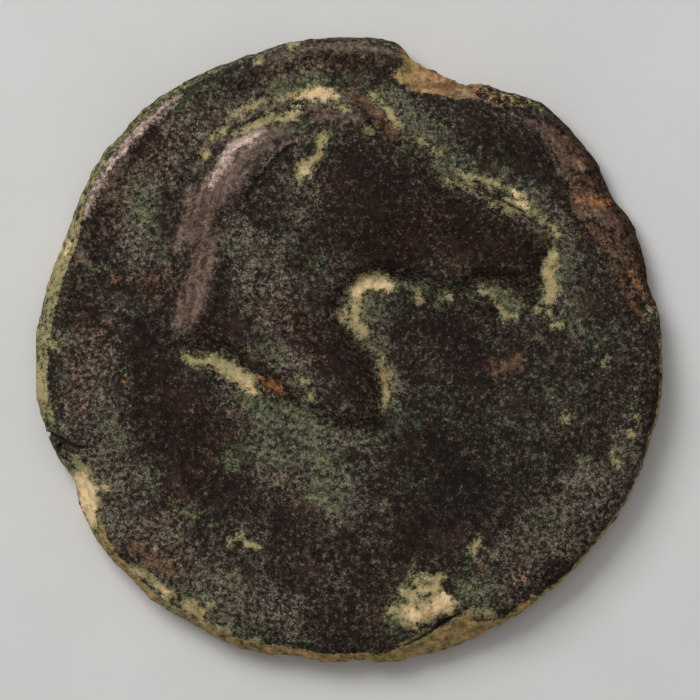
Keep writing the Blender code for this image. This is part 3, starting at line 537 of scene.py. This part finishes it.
SPECKLED = (  # where pale grains lie thickest
    ((-1.6, -0.9, 0.35), (-0.95, -1.15, 0.25)), ((-0.85, -2.15, 0.28), (-0.4, -2, 0.25)),
    ((-1.12, 8.85, 0.55), (-2.6, 8.6, 0.4), (-4.6, 7.75, 0.55), (-6.1, 6.4, 0.7), (-7.2, 4.9, 0.7),
     (-6.9, 3.2, 0.8)),
    ((1.3, 8.15, 0.5), (2.4, 7.2, 0.6), (3.6, 6.15, 0.65), (5, 5.45, 0.6), (6.1, 4.6, 0.5), (7, 3.6, 0.55)),
    ((7, 2.8, 0.55), (7, 1.6, 0.45), (7.6, 0.4, 0.3)),
    ((-3.6, 3.8, 0.6), (-2.9, 2.6, 0.8), (-2.6, 1.4, 0.8), (-2.3, 0.2, 0.5), (-1.4, -1.2, 0.5)),
    ((-3.9, -1.4, 0.4), (-2.8, -2.4, 0.6), (-1.4, -3, 0.7), (0.2, -2.9, 0.6)),
    ((-2.3, -3.6, 0.9), (-0.8, -4.3, 0.9), (-0.2, -5.2, 0.6)),
    ((0.1, 2, 0.7), (0.6, 0.8, 0.4), (1.4, -1.4, 0.4)),
    ((-8.6, -0.2, 1), (-8.5, -2, 0.9), (-7.6, -5, 0.9), (-6.4, -6.4, 1.1), (-4.4, -8, 1.1),
     (-2.2, -8.7, 0.9)),
    ((5.4, -6.8, 0.8), (6.6, -5.9, 0.9), (7.9, -4.2, 0.6)), ((4, -8, 0.6), (5.4, -7.4, 0.6)),
    ((-1.9, 5.4, 0.5), (-1.7, 4.4, 0.5)), ((7.4, -6.2, 0.7), (8.6, -4.6, 0.5), (9.2, -2.8, 0.4)),
)
DARK = (  # where the patina is smooth and almost black
    ((1.2, 5.2, 1), (2.8, 4.4, 0.9), (4.6, 3.8, 0.8), (5.4, 3, 0.8)), ((0.2, 4.2, 1.2), (1.6, 3.4, 0.9)),
    ((0.9, 6, 0.25), (0.2, 6.1, 0.55)), ((-0.6, 0.3, 0.5), (0.2, -1.2, 0.6)),
    ((-6.8, 0.6, 0.6), (-6.6, -1.6, 0.8), (-5.2, -3, 1), (-4.4, -4.6, 0.8)),
    ((2.2, 1, 0.7), (3.4, 0.6, 0.7), (4.2, -0.8, 0.6)), ((2.6, -3.4, 0.8), (4, -4.6, 0.9), (2.4, -6, 0.7)),
    ((4.4, 6.6, 0.8), (6.2, 6, 0.6)), ((-4.4, -0.9, 0.2), (-3.6, -1.6, 0.1)),
    ((-8.4, 3.08, 0.22), (-7.7, 2.95, 0.15)),
)
CRACKS = (
    ((-9.9, -2.75, 0.06), (-9.45, -2.95, 0.07), (-8.95, -3.2, 0.06), (-8.6, -3.2, 0.03)),
    ((-9.6, -3.4, 0.03), (-9.47, -2.98, 0.05)),
    ((1.8, -9.72, 0.02), (2.3, -9.5, 0.04), (2.9, -9.08, 0.05), (3.3, -8.82, 0.05), (3.6, -8.65, 0.03)),
    ((3.3, 5.6, 0.02), (4.3, 5.24, 0.03), (5.1, 4.86, 0.03), (5.8, 4.48, 0.02)),
    ((8.2, -2.6, 0.02), (8.5, -2.95, 0.02)),
)
# Degrees round the rim, then how thickly lime, verdigris, tan and cuprite lie on the sloping edge, and how
# far down it they begin.
EDGE_FINISH = (
    (2, -0.25, 0, 0, -0.4, 1.1), (9, -0.8, -0.4, -0.4, 0, 0.3), (20, -1, -0.6, -0.35, 0.05, 0.1),
    (46, -1, -0.45, -0.35, 0.05, 0.1), (52, -0.8, 0.05, -0.1, -0.2, 1.2),
    (58, -0.6, -0.08, -0.02, -0.05, 0.3), (63, -0.6, -0.25, -0.08, 0, 0.2), (67, -0.4, -0.2, 0.25, -0.2, 0),
    (78, -0.4, -0.2, 0.25, -0.2, 0), (82, -0.8, 0, -0.3, 0, 1.2), (86, -0.7, 0.08, -0.6, -0.3, 1.4),
    (100, -0.5, 0.04, -0.6, -0.4, 1.2), (112, -0.12, 0.08, -0.5, -0.5, 0.6),
    (130, -0.08, 0.12, -0.4, -0.5, 0.3), (155, -0.02, 0.12, -0.3, -0.6, 0.3),
    (161, 0.1, 0, -0.2, -0.6, 0.3), (168, 0.02, 0.06, -0.2, -0.6, 0.2), (179, -0.03, 0.02, -0.2, -0.4, 0.2),
    (187, 0.1, -0.05, -0.2, -0.5, 0.6), (193, -0.03, 0.1, -0.2, -0.4, 0.3), (198, -0.3, 0, -0.3, 0.05, 0.5),
    (204, 0.1, 0.05, -0.2, -0.6, 0.1), (214, -0.04, 0.1, 0.04, -0.6, 0.6),
    (222, -0.18, 0.06, 0.08, -0.5, 1), (228, -0.24, 0, 0.1, -0.4, 1.2), (236, -0.2, 0, 0.06, -0.4, 1),
    (250, -0.22, 0.02, 0.1, -0.4, 1), (276, -0.25, 0, 0.14, -0.3, 1), (284, -0.25, 0.05, 0.22, -0.4, 0.4),
    (295, -0.4, 0.05, 0.18, -0.4, 0.6), (302, -0.5, -0.1, 0.08, -0.3, 1.4),
    (335, -0.5, -0.05, 0.06, -0.3, 1.4), (348, -0.3, 0.04, 0, -0.3, 1.2),
)


OUTSIDE = -1.0  # mm: as far outside its strokes as any place counts


def stroke_depth(places, strokes):
    """How far inside the nearest stroke each place lies, in mm, and negative outside it."""
    depth = np.full(len(places), OUTSIDE)
    for stroke in strokes:
        for start, end in zip(np.array(stroke), np.array(stroke[1:])):
            along, apart = (end - start)[:2], places - start[:2]
            t = np.clip(apart @ along / (along @ along), 0, 1)
            half = start[2] + t * (end[2] - start[2])
            depth = np.maximum(depth, half - np.hypot(*(apart - t[:, None] * along).T))
    return depth


def roughness_of(places, size, octaves, seed):
    """Fractal unevenness from about -1 to 1 with its largest bumps about this many mm across."""
    shift = Vector((3.7 * seed, 1.9 * seed, 5.3 * seed))
    return np.array([noise.fractal(Vector(place) / size + shift, 1.0, 2.0, octaves) for place in places])


# ----------------------------------------------------------
# The coin itself: one closed skin. The upper face is a square grid bent into a disc, the edge is a stack
# of rows, and the lower face is a coarser disc.
UPPER_RINGS, LOWER_RINGS = 120, 60
EDGE_ROWS, UNDER_ROWS = 14, 5
WIDEST, RESTING = 2, 4  # how far down the edge they are, counted from 0 at the upper face
EDGE_DROP, EDGE_SLOPE = 0.36, 0.42  # how far the edge falls before it is widest
BEVEL_MIDDLE, BEVEL_SPREAD = 28, 24  # the wide bevel on the right, painted in shade on its outer part, in degrees
BITE_MIDDLE, BITE_SPREAD = 68, 13  # the broken face of the bite, in degrees
RIM_RADIUS, MANE_LENGTH = 10.2, 9.0  # about how far round and along the streaks run
FADE_INWARDS, FADE_UPWARDS = 8.0, 1.5  # how fast what lies on the edge thins towards the face
UPPER_CHART, LOWER_CHART = (0.33, 0.325), (0.75, 0.245)  # middle and radius of two rounds on the bake sheet
MM = 0.001  # in metres


def disc(rings):
    """Each place's share of the radius and its angle, the grid of indices, and the rim's in order."""
    line = np.arange(-rings, rings + 1)
    i, j = (axis.ravel() for axis in np.meshgrid(line, line, indexing="ij"))
    wide = abs(i) >= abs(j)
    long, short = np.where(wide, i, j), np.where(wide, j, i)
    turn = math.pi / 4 * short / np.where(long == 0, 1, long)
    angle = np.where(wide, turn, math.pi / 2 - turn) + np.where(long < 0, math.pi, 0)
    grid = np.arange(len(i)).reshape(len(line), len(line))
    rim = np.concatenate([grid[-1, :-1], grid[:0:-1, -1], grid[0, :0:-1], grid[:-1, 0]])
    return abs(long) / rings, angle, grid, rim


def around(radius, angle):
    """Places at this radius and angle."""
    return np.column_stack([radius * np.cos(angle), radius * np.sin(angle)])


def fit_disc(share, angle, rim_radius):
    """Places of a disc that is round in its middle and follows an uneven rim."""
    round_radius = 9.6
    return around(share * (round_radius + (rim_radius(angle) - round_radius) * share**3), angle)


def edge_profile(angle, down):
    """Radius and height of the edge this far down."""
    wide, sloping = widest(angle), slope(angle)
    top = field(around(wide - sloping, angle))
    middle = top - EDGE_DROP - EDGE_SLOPE * sloping
    knots = np.array([
        (wide - 1.5 * sloping, top + 0.03),
        (wide - sloping, top),
        (wide - 0.45 * sloping, top * 0.58 + middle * 0.42 + 0.03),
        (wide, middle),
        (wide - 0.06, 0.4 * middle + 0.1),
        (wide - UNDERCUT, 0 * wide),
        (wide - 2 * UNDERCUT, 0 * wide),
    ])
    number = min(int(down), 3)
    return between_knots(*knots[number : number + 4], down - number)


share, angle, upper_grid, rim = disc(UPPER_RINGS)
upper = fit_disc(share, angle, lambda angle: widest(angle) - slope(angle))
horse_height, horse_depth = horse(upper)
base = [np.column_stack([upper, field(upper) + horse_height])]
down = [np.zeros(len(upper))]
turn = [angle]
rows = [rim]
rim_angle = angle[rim]
upper_steps = np.linspace(0, WIDEST, EDGE_ROWS + 1)[1:]
for step in [*upper_steps, *np.linspace(WIDEST, RESTING, UNDER_ROWS + 2)[1:-1]]:
    radius, height = edge_profile(rim_angle, step)
    rows.append(np.arange(len(rim)) + sum(map(len, base)))
    base.append(np.column_stack([around(radius, rim_angle), height]))
    down.append(np.full(len(rim), step))
    turn.append(rim_angle)
share, angle, lower_grid, lower_rim = disc(LOWER_RINGS)
lower = fit_disc(share, angle, lambda angle: widest(angle) - UNDERCUT)
lower_first = sum(map(len, base))
base.append(np.column_stack([lower, dish(lower)]))
down.append(np.full(len(lower), RESTING))
turn.append(angle)
base, down, turn = np.vstack(base), np.concatenate(down), np.concatenate(turn)
flat = base[:, :2]
upside = down < RESTING

rim_radius = widest(turn) - slope(turn)
spread = np.hypot(*flat.T)
inset = rim_radius - spread
finish = {}  # what the material reads off the mesh, mostly each place's depth inside a kind of stroke
down_from = round_the_rim(EDGE_FINISH, turn, 5, 2.0)
off_edge = FADE_INWARDS * np.clip(inset, 0, 1) + FADE_UPWARDS * np.clip(down_from - down, 0, 2)
# Four kinds lie on the sloping edge too. Only the speckled and dark zones reach the underside, faintly.
for number, (name, strokes) in enumerate(
    (("lime", LIME), ("verdigris", VERDIGRIS), ("tan", TAN), ("cuprite", CUPRITE)), start=1
):
    on_edge = round_the_rim(EDGE_FINISH, turn, number, 2.0) - off_edge
    finish[name] = np.where(upside, np.maximum(stroke_depth(flat, strokes), on_edge), OUTSIDE)
for name, strokes in (
    ("chalk", CHALK), ("pit", PITS), ("bare", PINK), ("ochre", OCHRE), ("rubbed", RUBBED_HIGHLIGHTS), ("worn", WORN),
    ("crest", CREST_HIGHLIGHTS), ("crack", CRACKS), ("moss", MOSS), ("smoky", SMOKY), ("warm", WARM),
):
    finish[name] = np.where(upside, stroke_depth(flat, strokes), OUTSIDE)
finish["speckled"] = np.where(upside, stroke_depth(flat, SPECKLED), -0.5)
finish["dark"] = np.where(upside, stroke_depth(flat, DARK), -0.3)

on_horse = np.concatenate([horse_depth, np.full(len(base) - len(horse_depth), OUTSIDE)])
edge = ease(down / 0.35) * ease((RESTING - down) / 0.6)
bite = edge * ease(1 - abs(turned_from(BITE_MIDDLE, turn)) / BITE_SPREAD)
swells = roughness_of(base, 1.7, 3, 1)
lumps = roughness_of(base, 0.42, 4, 2)
run = turn * RIM_RADIUS
along_rim = np.column_stack([run / 3.0, down * 1.2, 0 * down])
streaks = roughness_of(along_rim, 0.35, 3, 3)
apart, share, side = nearest(flat, curve(MANE_LOCK))
by_mane = ease((1.3 - apart) / 0.5) * (down == 0)
along_mane = np.column_stack([share * MANE_LENGTH / 1.4, apart * side / 0.15, 0 * share])
round_rim = np.column_stack([run / 1.4, inset / 0.15, down / 0.45])
by_rim = np.maximum(ease((1.0 - inset) / 0.5), edge)
# Streaks that run with the mane, and round the rim.
finish["flow"] = by_mane * roughness_of(along_mane, 1.0, 2, 6)
finish["flow"] += (1 - by_mane) * by_rim * roughness_of(round_rim, 1.0, 2, 7)
# Painted shade on the outer part of the wide bevel on the right, which slopes away from the lamps.
on_bevel = ease((BEVEL_SPREAD - abs(turned_from(BEVEL_MIDDLE, turn))) / 8)
finish["shaded"] = ease((down - 1.1) / 0.5) * on_bevel * upside
finish["bite"] = bite
crusted = ease(finish["lime"] / 0.16 + 0.5) * ease(1 - finish["pit"] / 0.05) * (down < 1)
push = (  # how far each part stands out from its smooth form: the faces, the edge, and what lies on them
    0.016 * swells * (1 - edge)
    + 0.012 * lumps * (1 - 0.5 * ease(on_horse / 0.5))
    + edge * (0.05 * swells + 0.035 * lumps + 0.02 * streaks)
    + bite * (0.07 * lumps + 0.03 * roughness_of(base, 0.16, 2, 4))
    + crusted * (0.035 + 0.025 * lumps)
    + 0.05 * ease(finish["crest"] / 0.06 + 1)
    - 0.16 * ease(finish["crack"] / 0.05 + 0.7)
)
push = np.where(upside, push, 0.01 * lumps - 0.01)
lean = down * math.pi / 4
outward = np.column_stack([np.sin(lean) * np.cos(turn), np.sin(lean) * np.sin(turn), np.cos(lean)])
resting = ~upside & (base[:, 2] < 0.004)  # stays flat on the table
places = base + outward * np.where(resting, 0, push)[:, None]

fine = np.linspace(0, 2 * math.pi, 1441)  # every quarter of a degree
outline = around(widest(fine), fine)
middle = (outline.min(axis=0) + outline.max(axis=0)) / 2  # of the footprint: the coin's origin
places[:, :2] -= middle
places = np.clip(places * MM, np.array(cad_low), np.array(cad_high))


def quads(grid):
    """The square faces of a grid of indices."""
    return np.stack([grid[:-1, :-1], grid[1:, :-1], grid[1:, 1:], grid[:-1, 1:]], axis=-1).reshape(-1, 4)


edge_faces = [
    np.column_stack([above, below, np.roll(below, -1), np.roll(above, -1)])
    for above, below in zip(rows, rows[1:])
]
even, odd = rows[-1][0::2], rows[-1][1::2]
ground = lower_rim + lower_first
next_ground = np.roll(ground, -1)
seam_faces = np.vstack([
    np.column_stack([even, ground, odd]),
    np.column_stack([odd, ground, next_ground]),
    np.column_stack([odd, next_ground, np.roll(even, -1)]),
])
lower_faces = quads(lower_grid + lower_first)[:, (0, 3, 2, 1)]
faces_above = np.vstack([quads(upper_grid), *edge_faces[:EDGE_ROWS]]).tolist()
faces_under = [*np.vstack(edge_faces[EDGE_ROWS:]).tolist(), *seam_faces.tolist(), *lower_faces.tolist()]

mesh = bpy.data.meshes.new("bronze_coin")
mesh.from_pydata(places.tolist(), [], faces_above + faces_under)
mesh.shade_smooth()
for name, depth in finish.items():
    mesh.attributes.new(name, "FLOAT", "POINT").data.foreach_set("value", depth.astype(np.float32))

# Where each corner lies on the sheet for baking: all that is above the widest line in a large round, and the
# underside in a smaller one, both measured outwards along the surface.
upper_way, lower_way = spread.copy(), spread.copy()
for above, below in zip(rows, rows[1:]):
    upper_way[below] = upper_way[above] + np.linalg.norm(base[below] - base[above], axis=1)
lower_way[rows[-1]] = widest(rim_angle) - UNDERCUT + 0.1
for below, above in zip(rows[:EDGE_ROWS - 1:-1], rows[-2:EDGE_ROWS - 1:-1]):
    lower_way[above] = lower_way[below] + np.linalg.norm(base[below] - base[above], axis=1)
widest_row = rows[EDGE_ROWS]
uv_upper = UPPER_CHART[0] + around(upper_way / upper_way[widest_row].max() * UPPER_CHART[1], turn)
uv_lower = LOWER_CHART[0] + around(lower_way / lower_way[widest_row].max() * LOWER_CHART[1], turn)
corners = np.zeros(len(mesh.loops), int)
mesh.loops.foreach_get("vertex_index", corners)
under = np.arange(len(mesh.loops)) >= mesh.polygons[len(faces_above)].loop_start
uv = np.where(under[:, None], uv_lower[corners], uv_upper[corners])
mesh.uv_layers.new(name="OFBake").data.foreach_set("uv", uv.ravel())

coin = bpy.data.objects.new("bronze_coin", mesh)
bpy.context.scene.collection.objects.link(coin)

# ----------------------------------------------------------
# The patina: dark purplish-brown corrosion with green and reddish clouds, salted all over with pale grains
# and short threads of crystal, and the crusts, stains and bare places of the strokes above.
class Tint:
    """A value or a colour in a material. Arithmetic on it adds Math nodes, and make adds any other node."""

    tree = in_mm = None  # of the material being made: its nodes, and the place on the object in mm

    def __init__(self, socket):
        self.socket = socket

    @classmethod
    def make(cls, kind, inputs=None, output=0, **settings):
        node = cls.tree.nodes.new("ShaderNode" + kind)
        for name, value in settings.items():
            if name == "stops":
                stops = node.color_ramp.elements
                while len(stops) < len(value):
                    stops.new(1.0)
                for stop, (place, colour) in zip(stops, value):
                    stop.position, stop.color = place, (*colour, 1)
            else:
                setattr(node, name, value)
        for name, value in (inputs or {}).items():
            if isinstance(value, Tint):
                cls.tree.links.new(value.socket, node.inputs[name])
            else:
                node.inputs[name].default_value = value
        return cls(node.outputs[output])

    def combine(self, operation, first, second):
        return self.make("Math", {0: first, 1: second}, operation=operation)

    def __add__(self, other):
        return self.combine("ADD", self, other)

    __radd__ = __add__

    def __sub__(self, other):
        return self.combine("SUBTRACT", self, other)

    def __rsub__(self, other):
        return self.combine("SUBTRACT", other, self)

    def __mul__(self, other):
        return self.combine("MULTIPLY", self, other)

    __rmul__ = __mul__

    def __abs__(self):
        return self.make("Math", {0: self}, operation="ABSOLUTE")

    def most(self, other):
        return self.combine("MAXIMUM", self, other)

    def least(self, other):
        return self.combine("MINIMUM", self, other)


def new_material(name):
    """A material that Tint adds its nodes to from now on."""
    material = bpy.data.materials.new(name)
    material.use_nodes = True
    Tint.tree = material.node_tree
    place = Tint.make("TexCoord", output=3)
    Tint.in_mm = Tint.make("VectorMath", {0: place, "Scale": 1 / MM}, operation="SCALE")
    return material


def set_shader(material, **values):
    """Feed numbers or tints into a material's shader. A socket's name has _ for each space."""
    shader = material.node_tree.nodes["Principled BSDF"]
    for name, value in values.items():
        socket = shader.inputs[name.replace("_", " ")]
        if isinstance(value, Tint):
            material.node_tree.links.new(value.socket, socket)
        else:
            socket.default_value = value


def between(value, low, high):
    """0 up to low and 1 from high on, with a smooth step; the other way round where low is the higher."""
    return Tint.make("MapRange", {0: value, 1: low, 2: high}, interpolation_type="SMOOTHSTEP")


def over(share, top, bottom, way="MIX"):
    """One colour laid over another by this share, or multiplied into it."""
    inputs = {0: share}
    for socket, colour in ((6, bottom), (7, top)):
        inputs[socket] = colour if isinstance(colour, Tint) else (*colour, 1)
    return Tint.make("Mix", inputs, output=2, data_type="RGBA", blend_type=way)


def attribute(name):
    """What the mesh holds under this name."""
    return Tint.make("Attribute", output=2, attribute_name=name)


def clouds(size, detail, rough, seed=0, distortion=0.0):
    """Cloudy noise from 0 to 1 with bumps about this many mm across."""
    shift = (seed * 3.1, seed * 7.7, seed * 1.3)
    place = Tint.make("VectorMath", {0: Tint.in_mm, 1: shift}, operation="ADD")
    inputs = {"Scale": 1 / size, "Detail": detail, "Roughness": rough, "Distortion": distortion}
    return Tint.make("TexNoise", {"Vector": place, **inputs})


def grains(size, share):
    """Separate ragged grains about this many mm across, each of its own brightness; the rest is 0."""
    wander = Tint.make("TexNoise", {"Vector": Tint.in_mm, "Scale": 1.4 / size, "Detail": 1.0}, output=1)
    inputs = {0: wander, 1: (size * 2.2,) * 3, 2: Tint.in_mm}
    place = Tint.make("VectorMath", inputs, operation="MULTIPLY_ADD")
    inputs = {"Vector": place, "Scale": 1 / size, "Randomness": 1.0}
    roundness = 1 - between(Tint.make("TexVoronoi", inputs), 0.2, 0.55)
    own = Tint.make("SeparateColor", {0: Tint.make("TexVoronoi", inputs, output=1)})
    return roundness * between(own, 1 - share, 1.0)


patina = new_material("patinated_bronze")
patches = clouds(0.9, 4, 0.6, 2)
flecks = clouds(0.28, 3, 0.65, 3)
salt = clouds(0.085, 2, 0.75, 4)
dust = clouds(0.045, 1, 0.6, 5)
hue = clouds(0.3, 3, 0.65, 7)
threads = 1 - between(abs(clouds(0.2, 1, 0.5, 6, 1.2) - 0.5), 0.0, 0.03)
threads = threads.most(1 - between(abs(clouds(0.13, 1, 0.5, 11, 1.6) - 0.5), 0.0, 0.045))
crumbs = clouds(0.16, 3, 0.6, 9)
specks = grains(0.1, 0.6)
grit = salt * 0.3 + dust * 0.2 + crumbs * 0.4 + specks * 0.11 + 0.033
flow = attribute("flow")


def laid(name, ragged, fine):
    """Depth inside a kind of stroke with its outline broken up by fleck-sized and grain-sized noise."""
    depth = attribute(name) if isinstance(name, str) else name
    return depth + (flecks - 0.5) * ragged + (grit - 0.5) * fine


def cover(name, ragged, fine, low, high):
    """How thickly a kind of stroke covers the bronze, from 0 to 1 across its ragged outline."""
    return between(laid(name, ragged, fine), low, high)


def zone(name, soft):
    """0 to 1 across a zone, with a wide cloudy border."""
    return between(attribute(name) + (patches - 0.5) * 1.3 + (flecks - 0.5) * 0.6, -soft, soft)


def ramp(value, *stops):
    """A colour for each value, blended between stops of (value, colour)."""
    return Tint.make("ValToRGB", {0: value}, stops=stops)


# The bronze's own skin, from almost black through brown or green to pale grains.
speckled, dark = zone("speckled", 0.5), zone("dark", 0.5)
moss, smoky, warm = zone("moss", 0.4), zone("smoky", 0.6), zone("warm", 0.5)
lime = attribute("lime").least(attribute("pit") * -1.0)
near_crust = between(lime.most(attribute("verdigris")), -0.9, 0.0)
amount = speckled * 0.074 - dark * 0.05 + (patches - 0.5) * 0.15 + (flecks - 0.5) * 0.22 + near_crust * 0.02
grain = (grit - 0.5) * (speckled * 0.35 + 1.2) * (patches * 0.9 + 0.55) + 0.5 + amount
brown = ramp(
    grain, (0.34, (0.0085, 0.0053, 0.0042)), (0.46, (0.02, 0.013, 0.01)), (0.54, (0.04, 0.027, 0.0205)),
    (0.62, (0.11, 0.08, 0.061)), (0.76, (0.33, 0.262, 0.2)),
)
mossy = ramp(
    grain, (0.34, (0.0085, 0.0092, 0.0058)), (0.46, (0.02, 0.0222, 0.014)), (0.54, (0.044, 0.046, 0.0275)),
    (0.62, (0.098, 0.104, 0.058)), (0.76, (0.27, 0.265, 0.16)),
)
mossy_share = between(patches * 0.4 + hue * 0.6 + moss * 0.13 + near_crust * 0.04 - dark * 0.04, 0.51, 0.64)
colour = over(mossy_share * 0.85, mossy, brown)
colour = over(smoky * 0.75, (0.9, 1.02, 0.94), colour, "MULTIPLY")
colour = over(warm * 0.9, (1.12, 0.9, 0.82), colour, "MULTIPLY")
colour = over(between(clouds(1.1, 4, 0.65, 8), 0.55, 0.68) * 0.3, (0.08, 0.036, 0.024), colour)
colour = over(threads * between(grain, 0.47, 0.6) * 0.5, (0.24, 0.198, 0.148), colour)

# Where it has worn smooth: streaked, lighter and half metallic. Along the rubbed strokes the pale colour is
# a painted highlight.
gleam = grit * 0.9 + flow * 0.1 + flecks * 0.15 - 0.02
worn = between(laid("worn", 0.5, 0.7) + flow * 0.1, -0.24, 0.2)
worn_colour = ramp(
    gleam, (0.4, (0.058, 0.038, 0.029)), (0.5, (0.155, 0.105, 0.078)), (0.66, (0.34, 0.245, 0.195))
)
colour = over(worn * 0.85, worn_colour, colour)
# Painted highlight: a pale pinkish streak along the rubbed strokes.
rubbed = between(laid("rubbed", 0.3, 0.6) + flow * 0.08, -0.2, 0.08)
painted_highlight_colour = ramp(
    gleam, (0.4, (0.2, 0.138, 0.108)), (0.5, (0.45, 0.32, 0.26)), (0.66, (0.86, 0.67, 0.57))
)
colour = over(rubbed * 0.9, painted_highlight_colour, colour)
red = cover("cuprite", 0.8, 0.9, -0.1, 0.16)
colour = over(red * 0.7, ramp(grit, (0.4, (0.09, 0.047, 0.027)), (0.6, (0.27, 0.15, 0.084))), colour)
bare_here = cover("bare", 0.25, 0.35, -0.03, 0.1)
bare_colour = ramp(
    grit * 0.6 + flecks * 0.4, (0.38, (0.13, 0.07, 0.045)), (0.5, (0.29, 0.185, 0.125)),
    (0.64, (0.52, 0.39, 0.29)),
)
colour = over(bare_here * 0.75, bare_colour, colour)
# Painted shade: the outer part of the right bevel is darkened.
colour = over(attribute("shaded") * 0.7, (0.26, 0.23, 0.21), colour, "MULTIPLY")

# What burial laid on it: green and fawn crusts, and lime that pales with its depth.
green = cover("verdigris", 0.6, 1.0, -0.12, 0.16)
green_colour = ramp(
    grit, (0.38, (0.026, 0.034, 0.017)), (0.5, (0.074, 0.09, 0.043)), (0.62, (0.23, 0.238, 0.125))
)
colour = over(green * 0.75, green_colour, colour)
halo = between(laid(lime.most(attribute("verdigris") - 0.2), 0.9, 2.6), -0.16, 0.3)
colour = over(halo * 0.6, (0.31, 0.27, 0.15), colour)
mottle = grit * 0.45 + flecks * 0.35 + hue * 0.2
orange, olive = between(hue, 0.5, 0.62), between(hue, 0.5, 0.38)
fawn = cover("tan", 0.45, 0.6, -0.1, 0.1)
# The fawn crust is painted lighter than its own colour, as painted light on the lower edges that slope away
# from the lamps.
fawn_with_painted_light = ramp(
    mottle, (0.4, (0.14, 0.094, 0.04)), (0.48, (0.34, 0.235, 0.096)), (0.56, (0.56, 0.405, 0.185)),
    (0.66, (0.82, 0.64, 0.36)),
)
fawn_with_painted_light = over(orange * 0.7, (1.15, 0.86, 0.72), fawn_with_painted_light, "MULTIPLY")
fawn_with_painted_light = over(olive * 0.6, (0.72, 0.84, 0.66), fawn_with_painted_light, "MULTIPLY")
# On the bite, which faces the lamps, that painted light is taken back by darkening it.
fawn_with_painted_light = over(attribute("bite"), (0.86, 0.62, 0.8), fawn_with_painted_light, "MULTIPLY")
colour = over(fawn * 0.9, fawn_with_painted_light, colour)
crust = cover(lime, 0.55, 1.1, -0.18, 0.06)
crust_colour = ramp(
    mottle + lime * 0.3, (0.38, (0.15, 0.13, 0.064)), (0.47, (0.32, 0.265, 0.13)),
    (0.56, (0.51, 0.405, 0.205)), (0.68, (0.74, 0.58, 0.33)),
)
crust_colour = over(orange * 0.6, (1.12, 0.93, 0.92), crust_colour, "MULTIPLY")
crust_colour = over(olive * 0.5, (0.82, 0.94, 0.84), crust_colour, "MULTIPLY")
fringe = between(lime, 0.1, -0.06)
crust_colour = over((green * 0.45).most(fringe * 0.4), (0.235, 0.255, 0.135), crust_colour)
chalk = cover("chalk", 0.3, 0.6, -0.12, 0.1)
chalk_colour = ramp(mottle, (0.42, (0.56, 0.4, 0.205)), (0.5, (0.87, 0.63, 0.345)), (0.6, (1.0, 0.77, 0.46)))
crust_colour = over(chalk, chalk_colour, crust_colour)
colour = over(crust * 0.95, crust_colour, colour)
rusty = cover("ochre", 0.35, 0.8, -0.12, 0.16)
rusty_colour = ramp(
    mottle, (0.42, (0.15, 0.072, 0.035)), (0.52, (0.42, 0.175, 0.06)), (0.62, (0.7, 0.35, 0.15))
)
colour = over(rusty * 0.85, rusty_colour, colour)
# Painted highlight along the sharp worn crests.
crest = cover("crest", 0.1, 0.3, -0.03, 0.05)
colour = over(crest * 0.6, ramp(grit, (0.4, (0.13, 0.088, 0.068)), (0.6, (0.42, 0.3, 0.24))), colour)
crack = cover("crack", 0.03, 0.06, -0.03, 0.02)
colour = over(crack * 0.9, (0.012, 0.009, 0.007), colour)

bump_height = grit * 1.2 + flecks * 0.6 + crust * (0.6 + salt)
set_shader(
    patina,
    Base_Color=colour,
    Metallic=rubbed * 0.12 + worn * 0.05,
    Roughness=0.68 - rubbed * 0.18 - worn * 0.08 + crust * 0.2,
    Normal=Tint.make("Bump", {"Strength": 0.8, "Distance": 0.03 * MM, "Height": bump_height}),
    Specular_IOR_Level=0.08,
)
mesh.materials.append(patina)

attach(coin, "root")
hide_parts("coin")

# ----------------------------------------------------------
# The table top: a pale matt board, and over it soft daylight from the upper left and a camera looking
# straight down.
bpy.ops.mesh.primitive_plane_add(size=1.2, location=(0, 0, -0.01 * MM))
board = bpy.context.object
board.name = "board"
card = new_material("pale_card")
card_colour = over(between(clouds(6.0, 3, 0.5), 0.3, 0.7), (0.79, 0.78, 0.76), (0.75, 0.74, 0.72))
set_shader(card, Base_Color=card_colour, Roughness=0.9)
board.data.materials.append(card)


def add_lamp(name, azimuth, elevation, distance, size, watts):
    """A square soft box that faces the coin. Azimuth is in degrees from +X."""
    lamp = bpy.data.lights.new(name, "AREA")
    lamp.size, lamp.energy = size, watts
    box = bpy.data.objects.new(name, lamp)
    a, e = math.radians(azimuth), math.radians(elevation)
    box.location = distance * Vector((math.cos(a) * math.cos(e), math.sin(a) * math.cos(e), math.sin(e)))
    box.rotation_euler = (-box.location).to_track_quat("-Z", "Y").to_euler()
    bpy.context.scene.collection.objects.link(box)


add_lamp("window", 130, 48, 0.3, 0.16, 0.55)
add_lamp("sky", 95, 75, 0.4, 0.3, 0.22)
world = bpy.data.worlds.new("room")
world.use_nodes = True
sky_light = world.node_tree.nodes["Background"].inputs
sky_light["Color"].default_value = (1, 1, 1, 1)
sky_light["Strength"].default_value = 0.22
bpy.context.scene.world = world
bpy.context.scene.view_settings.view_transform = "Standard"

camera = bpy.data.cameras.new("camera")
camera.sensor_width, camera.lens = 36, 313.7  # mm
looking_down = bpy.data.objects.new("camera", camera)
looking_down.location = (-middle[0] * MM, -middle[1] * MM, 0.202)
bpy.context.scene.collection.objects.link(looking_down)
bpy.context.scene.camera = looking_down
